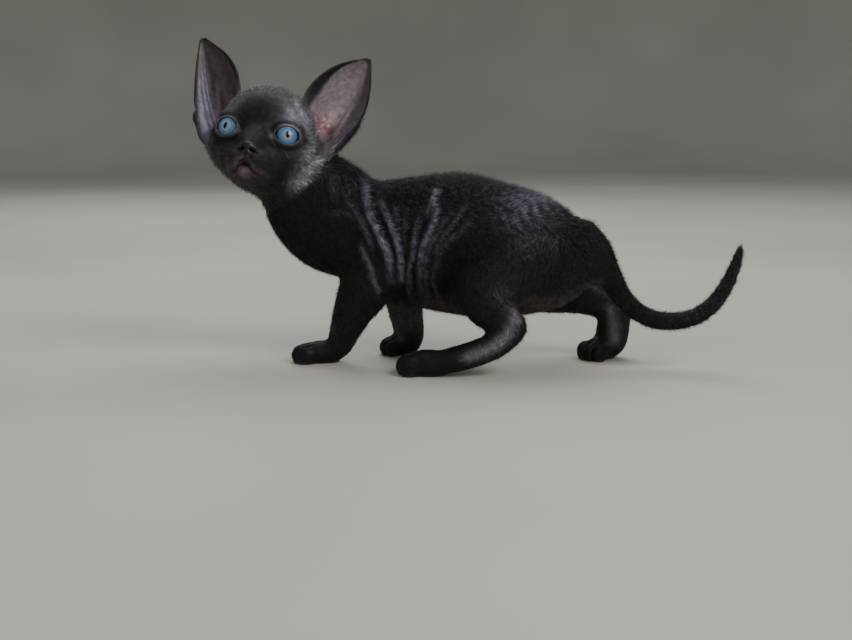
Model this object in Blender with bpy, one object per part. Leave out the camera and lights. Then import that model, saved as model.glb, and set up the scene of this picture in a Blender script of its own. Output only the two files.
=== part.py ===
"""A black devon rex kitten of about seven weeks, life size, walking with its head turned to its left.

The tables are in millimetres and the scene is in metres. X runs from the head to the tail, Y from the
cat's left side to its right, and Z up from the floor. The head has its own axes: forward, left and up.
"""

import math

import bmesh
import bpy
import numpy as np
from mathutils import Matrix, Vector
from mathutils.bvhtree import BVHTree

MM = 0.001
CENTRING = (2.188, -3.28, 0)  # puts the middle of the whole cat's box over the origin
GAP = 0.3 * MM  # what two nodes keep between them
FLOOR_SINK = 1.3  # how far a paw's rounded underside is modelled below the floor before it is cut flat

# Trunk, neck and tail: x, y, z, half the width, half the depth of each cross-section
TRUNK = (
    (-60, 17.5, 57, 14, 15),
    (-50, 16, 62, 18.5, 25),
    (-36, 13.5, 62, 22, 29),
    (-20, 10.5, 60, 25, 33.5),
    (-5, 8, 59, 27.5, 35),
    (10, 5.5, 56.5, 28.5, 34),
    (26, 2.5, 55, 27, 31.5),
    (39, 0, 53.5, 24, 27.5),
    (50, -2, 53, 19.5, 21.5),
    (57.5, -3.5, 53, 13, 14),
)
NECK = (
    (-92, 11, 100, 17, 19),
    (-83, 13, 91, 18, 22),
    (-74, 15, 79.5, 19, 27),
    (-64, 16.5, 70, 19.5, 28),
    (-54, 16.5, 65, 19, 26),
)
TAIL = (
    (54, -2.5, 62, 9, 11),
    (61, -3.5, 57, 7.6, 8.6),
    (66.5, -4.6, 48.5, 6.2, 6.6),
    (73.5, -5.8, 35.5, 5.3, 5.5),
    (82.5, -7.3, 27, 5, 5),
    (93, -9.2, 23.6, 4.9, 4.9),
    (104.6, -11.3, 24.7, 4.7, 4.7),
    (114, -13, 30, 4.5, 4.5),
    (121, -14.4, 39.3, 4.1, 4.1),
    (125.5, -15.3, 50.9, 3.4, 3.4),
    (127.6, -15.8, 59, 2.5, 2.5),
)

# Legs, from the trunk to the foot, in the same five columns
LEGS = {
    "front_left": (
        (-44, 3, 66, 9, 15),
        (-44, 3, 50, 9.5, 15.5),
        (-50, 3.5, 37, 9.5, 13.5),
        (-55.8, 5, 26, 8.4, 10.4),
        (-60, 7, 15.5, 7.4, 8),
        (-63, 8, 8.5, 7.2, 6.6),
        (-67, 8.6, 6, 7.2, 5.4),
    ),
    "front_right": (
        (-38, 22, 66, 9, 15),
        (-35, 23, 50, 9.5, 14.5),
        (-31.5, 25, 36, 9, 12),
        (-30.5, 27, 23, 8, 9.2),
        (-28.5, 29, 12.5, 7.4, 8),
        (-28.5, 29.6, 7.5, 7.2, 7),
        (-32, 30, 5.5, 7.2, 5.2),
    ),
    "hind_left": (
        (40, -7, 57, 11, 16),
        (24, -15.5, 53, 13, 20),
        (6, -20.5, 43, 11, 15),
        (8, -24.5, 35, 9, 12.5),
        (16, -27, 28, 7, 9.2),
        (22.5, -27.5, 23.2, 5.2, 5.6),
        (14, -27.3, 16.2, 6, 6.8),
        (3, -26.4, 11, 6.8, 6.6),
        (-8, -24.8, 7.6, 7.4, 6.2),
        (-16, -23.4, 6, 7.6, 5.2),
    ),
    "hind_right": (
        (46, 6, 57, 10, 15),
        (41, 14, 49, 11.5, 17),
        (39, 19, 36, 9.5, 13),
        (54, 20.5, 33, 8, 11),
        (68, 21, 28.5, 6.8, 9),
        (74.5, 21, 22, 6.8, 8.4),
        (74, 20.6, 14, 7.4, 8.6),
        (73, 20, 8, 7.8, 8),
        (69, 18.8, 6, 8, 6),
    ),
}

# Paws: centre x and y, the way the toes point in degrees from -X towards -Y, length, width, height
PAWS = {
    "front_left": (-73, 9, 4, 27, 17.5, 11),
    "front_right": (-33, 29.5, 14, 21, 16.5, 11),
    "hind_left": (-20.5, -22.4, -10, 27, 17.5, 12.6),
    "hind_right": (67, 17.5, 38, 22, 17.5, 11.5),
}
TOES = ((-0.35, 0.24), (-0.13, 0.33), (0.13, 0.33), (0.35, 0.24))  # sideways and forward shares of the size
PALM_BACK = 0.06  # how far the palm's middle lies behind the paw's, as a share of the length
PALM_SHARES = (0.44, 0.46)  # half the palm's length and width, as shares of the paw's
TOE_SHARES = (0.19, 0.155, 0.34)  # the same for a toe, and the height of its middle

# Head, in its own axes: the origin lies on the midline, level with the eyes and 20 mm behind them
HEAD_ORIGIN = (-97.6, 8, 107.8)
HEAD_YAW, HEAD_PITCH, HEAD_ROLL = 5, 18, 8.5
SKULL = (  # centre and radii of the large rounded masses on the midline
    ((-5, 0, 5), (27, 24.5, 24.5)),
    ((9, 0, 6), (13, 15, 11)),
    ((-2, 0, -14.5), (17, 17, 10.5)),
)
CHEEKS = (  # the same on the left side, repeated on the right
    ((3, 15.5, -4.5), (15.5, 11.5, 13)),
    ((10, 9, -14), (14, 8.5, 9)),
)
CHIN = ((17.5, 0, -20.8), (8, 6.5, 5.5))
FACE_PAIRS = (
    ((12, 7.5, -3), (9, 7, 8)),
    ((15, 10.5, -9), (8, 8, 7)),
    ((21.2, 4.9, -14.4), (7.6, 6.4, 5.6)),
    ((13.2, 13, 6.5), (6, 8, 4)),
    ((12, 7, -17.5), (12, 6.5, 6)),
)
NOSE = ((9, 0, 5, 12, 8.5), (16.5, 0, -1.2, 9.4, 7), (22.6, 0, -6.9, 7, 5.4), (27.4, 0, -10.8, 4.6, 3.6))
EYE_CENTRE = (11.8, 12.2, 0)
EYE_RADIUS = 8.4
EYE_AXIS = (0.93, 0.36, 0.03)
CORNEA_RADIUS, CORNEA_RISE = 7.0, 2.1
LID_RADIUS = 9.7
EYE_OPENING = (6.1, 4.75)  # half the width and half the height between the lids
EYE_SLANT = 8  # degrees that the outer corner rises
LID_FLATTENING = 0.16  # how much lower the opening is towards its corners
LID_RINGS = ((2, 0.8), (7.6, 1), (9.6, 1.06), (16, 1.5))  # millimetres ahead, share of the opening

# Ears, in the head's axes: their front edge, back and outer edge, from the root to the tip
EARS = {
    "left": (
        ((8, 24, -1), (9.5, 22, 8), (9, 16.5, 20), (6.5, 19.5, 32), (2.5, 28.5, 43), (-1.2, 40.8, 49.3)),
        ((-6, 19, 0), (-13, 19, 8), (-16, 23, 17), (-16.5, 29.5, 28), (-11.5, 36, 40), (-2.5, 42, 49.6)),
        ((5, 27, -8), (4, 33, -4), (0.5, 39.5, 6), (-3, 44, 19), (-4, 45, 33), (-2, 43.2, 48.4)),
    ),
    "right": (
        ((8, 24, -1), (9.5, 22, 8), (9, 17, 19), (6.5, 18, 29.5), (2.5, 26.5, 40), (-1.2, 40.3, 48)),
        ((-6, 19, 0), (-13, 19, 8), (-16, 22, 16), (-16.5, 28, 27), (-11.5, 34.5, 39), (-2.5, 41.5, 48.2)),
        ((5, 26, -8), (4, 30.5, -4), (1.5, 35.5, 5), (-3, 40, 18), (-4, 42.4, 32), (-2, 42.8, 47)),
    ),
}
EAR_THICKNESS = 1.3
EAR_ROWS, EAR_COLUMNS = 12, 9

# Lines cut into the face, as sideways and upward places with a radius, and the nostrils
PHILTRUM = ((0, -13.2, 0.35), (0, -15.5, 0.4), (0, -17.6, 0.5))
MOUTH = ((0, -17.6, 0.6), (2, -19.6, 0.75), (4.2, -21.4, 0.65), (6.6, -22, 0.5), (8.6, -21.2, 0.35))
AHEAD_OF_NOSE = 60  # where the lines are laid on the face from
NOSTRIL, NOSTRIL_RADII = (30.6, 2.2, -11.7), (1.9, 1.1, 0.75)

# Planes that part the nodes: a point on the plane and the direction towards the head or tail
HEAD_CUT = ((-82, 13, 89), (-0.68, -0.15, 0.71))
NECK_CUT = ((-60, 16, 70), (-0.80, -0.10, 0.59))
TAIL_CUT = ((65, -4.3, 51), (0.42, -0.08, -0.90))
TAIL_BOX = (34, 110, 130)  # width across the cat, height and length of the box that holds the tail
TAIL_BOX_OFFSET = (-9, 43)  # how far its middle lies towards the cat's right and above the tail's root
CUT_BOX = (200, 200, 200)  # reaches past everything ahead of a cut
FLOOR_BOX = (600, 600, 100)

# Plates that part the legs: x, z and radius of each round, and how far it reaches inwards in y
LEG_PLATES = {
    "front_left": ((-45, 58, 16, 8), (-47, 38, 17.5, 10), (-60, 14, 15, 18), (-74, 4, 17, 20)),
    "front_right": ((-37, 58, 16, 19), (-32, 36, 16, 18.5), (-29, 12, 14, 20), (-34, 4, 15, 20)),
    "hind_left": ((41, 60, 20, -4), (8, 44, 17, -7), (18, 24, 12, -13), (-6, 6, 13, -12), (-22, 4, 16, -11)),
    "hind_right": ((49, 60, 18, 4), (42, 38, 16, 6), (73, 26, 14, 10), (69, 6, 17, 6)),
}
OUTER_REACH = 60  # how far outwards a leg's plate goes

CORE_VOXEL, SKIN_VOXEL = 2.0, 1.0
CORE_SMOOTHING, SKIN_SMOOTHING = 14, 7
CORE_SPANS = {"front": 4, "hind": 5}  # how many stations of a leg belong to the body's large masses
CAP_ANGLES = (30, 58, 80)  # degrees round a half-round end
HEAD_DETAIL, BODY_DETAIL = 9800, 6800  # triangles of the whole skin, before the head or body is cut from it
EYE_SEGMENTS = 20
SLIVERS = (0.03, 0.02, 0.01, 0.005, 0.002, 0.001, 0.0002)  # edges this short go, where that leaves no hole

# Colour and roughness of each node's material
COAT = ((0.018, 0.017, 0.020, 1), 0.7)
EAR_SKIN = ((0.09, 0.075, 0.08, 1), 0.6)
IRIS = ((0.13, 0.33, 0.48, 1), 0.15)


def clear_scene():
    """Removes what the startup scene holds."""
    for obj in list(bpy.data.objects):
        bpy.data.objects.remove(obj)


def unit(values):
    return Vector(values).normalized()


def head_matrix():
    """The head's axes, forward, left and up, as columns, with its origin."""
    yaw, pitch, roll = (math.radians(a) for a in (HEAD_YAW, HEAD_PITCH, HEAD_ROLL))
    forward = Vector((-math.sin(yaw) * math.cos(pitch), -math.cos(yaw) * math.cos(pitch), math.sin(pitch)))
    left = Vector((math.cos(yaw), -math.sin(yaw), 0))
    up = forward.cross(left)
    turn = Matrix.Rotation(-roll, 3, forward)
    axes = Matrix((forward, turn @ left, turn @ up)).transposed()
    return Matrix.Translation(Vector(HEAD_ORIGIN) * MM) @ axes.to_4x4()


def new_object(name, bm):
    mesh = bpy.data.meshes.new(name)
    bm.normal_update()
    bmesh.ops.recalc_face_normals(bm, faces=bm.faces)
    bm.to_mesh(mesh)
    bm.free()
    obj = bpy.data.objects.new(name, mesh)
    bpy.context.scene.collection.objects.link(obj)
    return obj


def discard(*objects):
    for obj in objects:
        mesh = obj.data
        bpy.data.objects.remove(obj)
        bpy.data.meshes.remove(mesh)


def settle(obj):
    """Applies the object's modifiers to its mesh."""
    graph = bpy.context.evaluated_depsgraph_get()
    mesh = bpy.data.meshes.new_from_object(obj.evaluated_get(graph))
    obj.modifiers.clear()
    old, obj.data = obj.data, mesh
    bpy.data.meshes.remove(old)
    return obj


def between(rows, per_span):
    """Rows on a smooth curve through the given rows, with per_span steps from each to the next."""
    table = np.array(rows, float)
    ends = np.vstack([2 * table[0] - table[1], table, 2 * table[-1] - table[-2]])
    found = []
    for i in range(1, len(ends) - 2):
        a, b, c, d = ends[i - 1 : i + 3]
        for step in range(per_span):
            t = step / per_span
            bend, twist = 2 * a - 5 * b + 4 * c - d, 3 * b - a - 3 * c + d
            found.append(0.5 * (2 * b + (c - a) * t + bend * t**2 + twist * t**3))
    found.append(table[-1])
    return np.array(found)


def rounded_ends(rows):
    """The rows with a half-round cap of shrinking rings at each end."""
    caps = []
    for end, inner in ((rows[0], rows[1]), (rows[-1], rows[-2])):
        away = (end[:3] - inner[:3]) / np.linalg.norm(end[:3] - inner[:3])
        radius = min(end[3], end[4])
        caps.append(
            [
                np.concatenate([end[:3] + away * radius * math.sin(a), end[3:] * math.cos(a)])
                for a in map(math.radians, CAP_ANGLES)
            ]
        )
    return np.vstack([caps[0][::-1], rows, caps[1]])


def loft(name, stations, sides=20, frame=None):
    """A round-ended solid along the stations, whose width stays level with the frame's Y."""
    rows = rounded_ends(between(stations, 4))
    centres = rows[:, :3] * MM
    tangents = np.gradient(centres, axis=0)
    bm = bmesh.new()
    rings = []
    for centre, tangent, (half_width, half_depth) in zip(centres, tangents, rows[:, 3:] * MM):
        along = Vector(tangent).normalized()
        side = (Vector((0, 1, 0)) - along * along.y).normalized()
        axes = Matrix((side * half_width, along.cross(side) * half_depth, along * half_width)).transposed()
        made = bmesh.ops.create_circle(
            bm, segments=sides, radius=1, matrix=Matrix.Translation(Vector(centre)) @ axes.to_4x4()
        )
        rings.append({edge for vert in made["verts"] for edge in vert.link_edges})
    for first, second in zip(rings, rings[1:]):
        bmesh.ops.bridge_loops(bm, edges=list(first | second))
    bmesh.ops.holes_fill(bm, edges=[e for e in bm.edges if e.is_boundary], sides=0)
    bm.transform(frame or Matrix.Identity(4))
    return new_object(name, bm)


def ellipsoid(name, centre, radii, frame=None, segments=24):
    """An ellipsoid whose centre and radii lie along the frame's axes."""
    bm = bmesh.new()
    bmesh.ops.create_uvsphere(bm, u_segments=segments, v_segments=segments // 2, radius=1)
    shape = Matrix.Translation(Vector(centre) * MM) @ Matrix.Diagonal([r * MM for r in radii] + [1])
    bm.transform((frame or Matrix.Identity(4)) @ shape)
    return new_object(name, bm)


def paw(name):
    """The pieces of one paw: a palm and four toes, which reach a little below the floor."""
    x, y, heading, length, width, height = PAWS[name]
    turn = Matrix.Rotation(math.radians(heading), 4, "Z") @ Matrix.Rotation(math.pi, 4, "Z")
    frame = Matrix.Translation(Vector((x, y, 0)) * MM) @ turn
    palm_rise = (height - FLOOR_SINK) / 2
    palm_radii = (PALM_SHARES[0] * length, PALM_SHARES[1] * width, palm_rise + FLOOR_SINK)
    pieces = [ellipsoid(name + "_palm", (-PALM_BACK * length, 0, palm_rise), palm_radii, frame)]
    toe_rise = TOE_SHARES[2] * height
    toe_radii = (TOE_SHARES[0] * length, TOE_SHARES[1] * width, toe_rise + FLOOR_SINK)
    for number, (sideways, forward) in enumerate(TOES):
        place = (forward * length, sideways * width, toe_rise)
        pieces.append(ellipsoid(f"{name}_toe_{number}", place, toe_radii, frame, 16))
    return pieces


def fuse(name, pieces, voxel, smoothing):
    """One closed, smoothed surface round all the pieces, which are used up."""
    bm = bmesh.new()
    for piece in pieces:
        bm.from_mesh(piece.data)
    discard(*pieces)
    obj = new_object(name, bm)
    remesh = obj.modifiers.new("Fuse", "REMESH")
    remesh.mode = "VOXEL"
    remesh.voxel_size = voxel * MM
    smooth = obj.modifiers.new("Soften", "SMOOTH")
    smooth.factor = 0.5
    smooth.iterations = smoothing
    return settle(obj)


def core_pieces(head):
    """The large masses of the body, which flow into each other."""
    pieces = [loft("trunk", TRUNK, 28), loft("neck_mass", NECK), loft("tail_mass", TAIL)]
    for name, stations in LEGS.items():
        pieces.append(loft(name + "_core", stations[: CORE_SPANS[name.split("_")[0]]]))
    for number, (centre, radii) in enumerate(SKULL):
        pieces.append(ellipsoid(f"skull_{number}", centre, radii, head))
    for side in (1, -1):
        for number, (centre, radii) in enumerate(CHEEKS):
            pieces.append(ellipsoid(f"cheek_{number}_{side}", mirrored(centre, side), radii, head))
    return pieces


def fine_pieces(head):
    """The legs, paws and the features of the face, added to the body's large masses."""
    pieces = []
    for name, stations in LEGS.items():
        pieces.append(loft(name + "_limb", stations))
        pieces += paw(name)
    pieces.append(loft("tail_length", TAIL))
    pieces += [loft("nose", NOSE, frame=head), ellipsoid("chin", *CHIN, head)]
    for side in (1, -1):
        for number, (centre, radii) in enumerate(FACE_PAIRS):
            pieces.append(ellipsoid(f"face_{number}_{side}", mirrored(centre, side), radii, head))
        pieces.append(ellipsoid(f"lids_{side}", mirrored(EYE_CENTRE, side), (LID_RADIUS,) * 3, head))
    return pieces


def mirrored(point, side):
    """A point of the left side, or its twin on the right where side is -1."""
    return (point[0], point[1] * side, point[2])


def eyeball(name, side, head, grown=0):
    """The globe with the bulge of its cornea, grown for the socket that holds it."""
    centre = Vector(mirrored(EYE_CENTRE, side))
    axis = unit(mirrored(EYE_AXIS, side))
    globe = EYE_RADIUS + grown
    cornea = CORNEA_RADIUS + grown
    bm = bmesh.new()
    bmesh.ops.create_uvsphere(bm, u_segments=EYE_SEGMENTS, v_segments=EYE_SEGMENTS // 2, radius=1)
    for vert in bm.verts:
        out = vert.co.z
        ahead = CORNEA_RISE * out + math.sqrt(max(cornea**2 - CORNEA_RISE**2 * (1 - out**2), 0))
        vert.co *= max(globe, ahead if out > 0 else 0)
    frame = Matrix.Translation(centre * MM) @ axis.to_track_quat("Z", "Y").to_matrix().to_4x4()
    bm.transform(head @ frame @ Matrix.Scale(MM, 4))
    return new_object(name, bm)


def lid_cutter(side, head):
    """What opens the lids: an almond that widens outwards from the middle of the globe."""
    axis = unit(mirrored(EYE_AXIS, side))
    across = unit(Vector((0, side, 0)) - axis * axis.y * side)
    tilted = Matrix.Rotation(math.radians(EYE_SLANT * side), 3, axis) @ across
    across = tilted if tilted.z > 0 else Matrix.Rotation(math.radians(-EYE_SLANT * side), 3, axis) @ across
    above = axis.cross(across) * side
    bm = bmesh.new()
    rings = []
    for distance, share in LID_RINGS:
        verts = bmesh.ops.create_circle(bm, segments=24, radius=1)["verts"]
        for vert in verts:
            wide, high = vert.co.x, vert.co.y * (1 - LID_FLATTENING * vert.co.x**2)
            sideways = across * wide * EYE_OPENING[0] * share
            upwards = above * high * EYE_OPENING[1] * share
            vert.co = (Vector(mirrored(EYE_CENTRE, side)) + axis * distance + sideways + upwards) * MM
        rings.append({edge for vert in verts for edge in vert.link_edges})
    for first, second in zip(rings, rings[1:]):
        bmesh.ops.bridge_loops(bm, edges=list(first | second))
    bmesh.ops.holes_fill(bm, edges=[e for e in bm.edges if e.is_boundary], sides=0)
    bm.transform(head)
    return new_object("lid_cutter", bm)


def ear(name, side, head):
    """The cup of one ear, open to the front and outwards, with its root inside the head."""
    lines = [between([mirrored(p, side) for p in line], 8) for line in EARS["left" if side > 0 else "right"]]
    steps = np.linspace(0, len(lines[0]) - 1, EAR_ROWS)
    bm = bmesh.new()
    bmesh.ops.create_grid(bm, x_segments=EAR_COLUMNS, y_segments=EAR_ROWS - 1, size=1)
    for vert in bm.verts:
        row = (vert.co.y + 1) / 2 * (len(lines[0]) - 1)
        low = min(int(row), len(lines[0]) - 2)
        part = row - low
        front, back, outer = (line[low] * (1 - part) + line[low + 1] * part for line in lines)
        t = (vert.co.x + 1) / 2
        middle = 2 * back - 0.5 * (front + outer)
        vert.co = Vector(front * (1 - t) ** 2 + middle * 2 * t * (1 - t) + outer * t**2) * MM
    bm.transform(head)
    obj = new_object(name, bm)
    shell = obj.modifiers.new("Thickness", "SOLIDIFY")
    shell.thickness = EAR_THICKNESS * MM
    shell.offset = 0
    return settle(obj)


def copy_of(obj, name):
    twin = bpy.data.objects.new(name, obj.data.copy())
    bpy.context.scene.collection.objects.link(twin)
    return twin


def boolean(obj, cutter, operation, solver="EXACT"):
    """Applies one Boolean; the cutter stays."""
    step = obj.modifiers.new(operation.title(), "BOOLEAN")
    step.operation = operation
    step.object = cutter
    step.solver = solver
    return settle(obj)


def block(name, plane, shift=0, size=CUT_BOX, offset=(0, 0)):
    """A box whose near face lies on the plane, moved forward by the shift, and which reaches ahead of it."""
    point, direction = Vector(plane[0]) * MM, unit(plane[1])
    bm = bmesh.new()
    bmesh.ops.create_cube(bm, size=1)
    bm.transform(Matrix.Translation((0, 0, 0.5)))
    bm.transform(Matrix.Diagonal([length * MM for length in size] + [1]))
    bm.transform(Matrix.Translation((offset[0] * MM, offset[1] * MM, 0)))
    turn = direction.to_track_quat("Z", "Y").to_matrix().to_4x4()
    bm.transform(Matrix.Translation(point + direction * shift) @ turn)
    return new_object(name, bm)


def plate(name, grown):
    """The rounds of a leg's plate, joined in turn: what lies inside belongs to the leg."""
    outwards = -1 if name.endswith("left") else 1
    rounds = LEG_PLATES[name]
    whole = None
    for first, second in zip(rounds, rounds[1:]):
        bm = bmesh.new()
        for x, z, radius, reach in (first, second):
            for y in (outwards * OUTER_REACH * MM, reach * MM - outwards * grown):
                lying = Matrix.Translation((x * MM, y, z * MM)) @ Matrix.Rotation(math.pi / 2, 4, "X")
                bmesh.ops.create_circle(bm, segments=28, radius=radius * MM + grown, matrix=lying)
        hull = bmesh.ops.convex_hull(bm, input=bm.verts)
        bmesh.ops.delete(bm, geom=hull["geom_interior"], context="VERTS")
        piece = new_object(name + "_plate", bm)
        if whole is None:
            whole = piece
        else:
            boolean(whole, piece, "UNION")
            discard(piece)
    return whole


def is_closed(bm):
    return all(len(edge.link_faces) == 2 for edge in bm.edges)


def largest_surface(bm):
    """Deletes all but the largest of the separate surfaces."""
    left, groups = set(bm.verts), []
    while left:
        group, front = set(), [left.pop()]
        while front:
            vert = front.pop()
            group.add(vert)
            for edge in vert.link_edges:
                other = edge.other_vert(vert)
                if other in left:
                    left.remove(other)
                    front.append(other)
        groups.append(group)
    groups.sort(key=len)
    bmesh.ops.delete(bm, geom=[v for group in groups[:-1] for v in group], context="VERTS")


def tidy(obj):
    """Leaves the largest closed surface, in triangles and with as few slivers as it allows."""
    for shortest in SLIVERS:
        bm = bmesh.new()
        bm.from_mesh(obj.data)
        largest_surface(bm)
        bmesh.ops.remove_doubles(bm, verts=bm.verts, dist=shortest * MM)
        bmesh.ops.dissolve_degenerate(bm, edges=bm.edges, dist=shortest * MM)
        bmesh.ops.triangulate(bm, faces=bm.faces)
        largest_surface(bm)
        if is_closed(bm):
            break
        bm.free()
    else:
        raise ValueError(f"{obj.name} doesn't close")
    bm.to_mesh(obj.data)
    bm.free()
    return obj


def reduced(obj, triangles):
    """The object with about so many triangles."""
    obj.modifiers.new("Triangles", "TRIANGULATE")
    settle(obj)
    fewer = obj.modifiers.new("Fewer", "DECIMATE")
    fewer.ratio = triangles / len(obj.data.polygons)
    return tidy(settle(obj))


def face_cutters(face, head):
    """Grooves for the mouth and the philtrum, which follow the face, and the nostrils."""
    tree = BVHTree.FromPolygons([v.co for v in face.data.vertices], [p.vertices for p in face.data.polygons])
    ahead = head.to_3x3() @ Vector((1, 0, 0))

    def on_face(sideways, up):
        hit = tree.ray_cast(head @ (Vector((AHEAD_OF_NOSE, sideways, up)) * MM), -ahead)[0]
        return (head.inverted() @ hit) / MM

    cutters = []
    for side in (1, -1):
        rows = [(*on_face(l * side, u), r, r) for l, u, r in MOUTH]
        cutters.append(loft(f"mouth_{side}", rows, 8, head))
        cutters.append(ellipsoid(f"nostril_{side}", mirrored(NOSTRIL, side), NOSTRIL_RADII, head, 12))
    rows = [(*on_face(l, u), r, r) for l, u, r in PHILTRUM]
    return cutters + [loft("philtrum", rows, 8, head)]


def part_head(skin, head):
    """The head, with its eye sockets, lids, nostrils and mouth."""
    face = reduced(copy_of(skin, "head"), HEAD_DETAIL)
    cutters = face_cutters(face, head)
    ahead = block("ahead", HEAD_CUT, GAP / 2)
    boolean(face, ahead, "INTERSECT")
    for side in (1, -1):
        lids = lid_cutter(side, head)
        cutters.append(boolean(eyeball("socket", side, head, GAP / MM), lids, "UNION"))
        discard(lids)
    for cutter in cutters:
        boolean(face, cutter, "DIFFERENCE")
    discard(ahead, *cutters)
    return tidy(face)


def part_ears(face, head):
    """Both ears, cut to stand off the head."""
    grown = copy_of(face, "grown_head")
    push = grown.modifiers.new("Grow", "DISPLACE")
    push.strength = GAP
    push.mid_level = 0
    settle(grown)
    ears = [ear("ear_left", 1, head), ear("ear_right", -1, head)]
    for cup in ears:
        tidy(boolean(cup, grown, "DIFFERENCE"))
    discard(grown)
    return ears


def part_body(skin):
    """The neck, torso, tail and legs."""
    body = reduced(copy_of(skin, "body"), BODY_DETAIL)
    behind = (HEAD_CUT[0], [-v for v in HEAD_CUT[1]])
    floor = block("floor", ((0, 0, 0), (0, 0, -1)), 0, FLOOR_BOX)
    boolean(body, floor, "DIFFERENCE")

    neck = copy_of(body, "neck")
    head_side, neck_back = block("head_side", behind, GAP / 2), block("neck_back", NECK_CUT, GAP / 2)
    boolean(neck, head_side, "INTERSECT")
    boolean(neck, neck_back, "INTERSECT")
    neck_gone = block("neck_gone", NECK_CUT, -GAP / 2)

    tail = copy_of(body, "tail")
    tail_own = block("tail_own", TAIL_CUT, GAP / 2, TAIL_BOX, TAIL_BOX_OFFSET)
    tail_gone = block("tail_gone", TAIL_CUT, -GAP / 2, TAIL_BOX, TAIL_BOX_OFFSET)
    boolean(tail, tail_own, "INTERSECT")

    torso = copy_of(body, "torso")
    boolean(torso, neck_gone, "DIFFERENCE")
    boolean(torso, tail_gone, "DIFFERENCE")
    parts = [neck, tail, torso]
    for name in LEGS:
        own, room = plate(name, 0), plate(name, GAP)
        leg = copy_of(body, "leg_" + name)
        boolean(leg, own, "INTERSECT")
        boolean(leg, neck_gone, "DIFFERENCE")
        boolean(leg, tail_gone, "DIFFERENCE")
        boolean(torso, room, "DIFFERENCE")
        discard(own, room)
        parts.append(leg)
    discard(body, floor, head_side, neck_back, neck_gone, tail_own, tail_gone)
    return [tidy(part) for part in parts]


def finish(obj, look):
    """Gives the object its own material and puts the whole cat's bottom centre at the origin."""
    colour, roughness = look
    material = bpy.data.materials.new(obj.name)
    material.use_nodes = True
    surface = material.node_tree.nodes["Principled BSDF"]
    surface.inputs["Base Color"].default_value = colour
    surface.inputs["Roughness"].default_value = roughness
    obj.data.materials.clear()
    obj.data.materials.append(material)
    obj.data.transform(Matrix.Translation(Vector(CENTRING) * MM))
    obj.data.shade_flat()


def main():
    clear_scene()
    head = head_matrix()
    core = fuse("core", core_pieces(head), CORE_VOXEL, CORE_SMOOTHING)
    skin = fuse("skin", [core] + fine_pieces(head), SKIN_VOXEL, SKIN_SMOOTHING)
    face = part_head(skin, head)
    ears = part_ears(face, head)
    eyes = [eyeball("eye_left", 1, head), eyeball("eye_right", -1, head)]
    for obj in [face] + part_body(skin):
        finish(obj, COAT)
    for obj in ears:
        finish(obj, EAR_SKIN)
    for obj in eyes:
        finish(obj, IRIS)
    discard(skin)


if __name__ == "__main__":
    main()
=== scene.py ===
"""A black devon rex kitten of about seven weeks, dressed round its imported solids.

One skin takes the place of every solid of flesh. It carries the folds of the flank, the face, the ears and
the paws, and a short rippled coat of small mesh tufts grows on it. The eyes, the rims of their lids and the
whiskers are pieces of their own. Tables are in millimetres, along the same axes as the part's source, and
the scene is in metres. X runs from head to tail, Y from the cat's left to its right, Z up from the floor.
"""

import logging
import math
from dataclasses import dataclass
from enum import Enum

import bmesh
import bpy
import numpy as np
from mathutils import Matrix, Vector
from mathutils.kdtree import KDTree


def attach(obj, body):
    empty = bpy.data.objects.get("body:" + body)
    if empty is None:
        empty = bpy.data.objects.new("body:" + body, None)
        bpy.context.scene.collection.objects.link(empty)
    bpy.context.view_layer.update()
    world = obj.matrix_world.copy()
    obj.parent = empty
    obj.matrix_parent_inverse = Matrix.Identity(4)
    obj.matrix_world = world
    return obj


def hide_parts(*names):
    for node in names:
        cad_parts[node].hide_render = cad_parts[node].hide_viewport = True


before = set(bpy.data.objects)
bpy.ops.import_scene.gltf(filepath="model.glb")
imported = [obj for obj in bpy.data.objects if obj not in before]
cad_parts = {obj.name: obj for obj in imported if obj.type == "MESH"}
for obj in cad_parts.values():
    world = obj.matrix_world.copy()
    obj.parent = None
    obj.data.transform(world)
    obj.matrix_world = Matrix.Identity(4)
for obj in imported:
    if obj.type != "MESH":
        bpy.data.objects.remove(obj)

LOG = logging.getLogger("kitten")
MM = 0.001
CENTRING = np.array((2.188, -3.28, 0.0))  # from the source's tables to the middle of the cat's box
IMAGE_SIZE = (852, 640)
MARKING = "Marking"
GLOSS = "Gloss"
BAKE_MAP = "OFBake"
IRIS_MAP = "IrisMap"
IRIS_SPAN = 20.0  # millimetres that the map of the iris is wide
FAR = 999.0  # millimetres, for what is too far off to matter
LOWEST_HAIR = 0.05  # millimetres above the floor
LEG_NAMES = ("front_left", "front_right", "hind_left", "hind_right")

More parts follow.
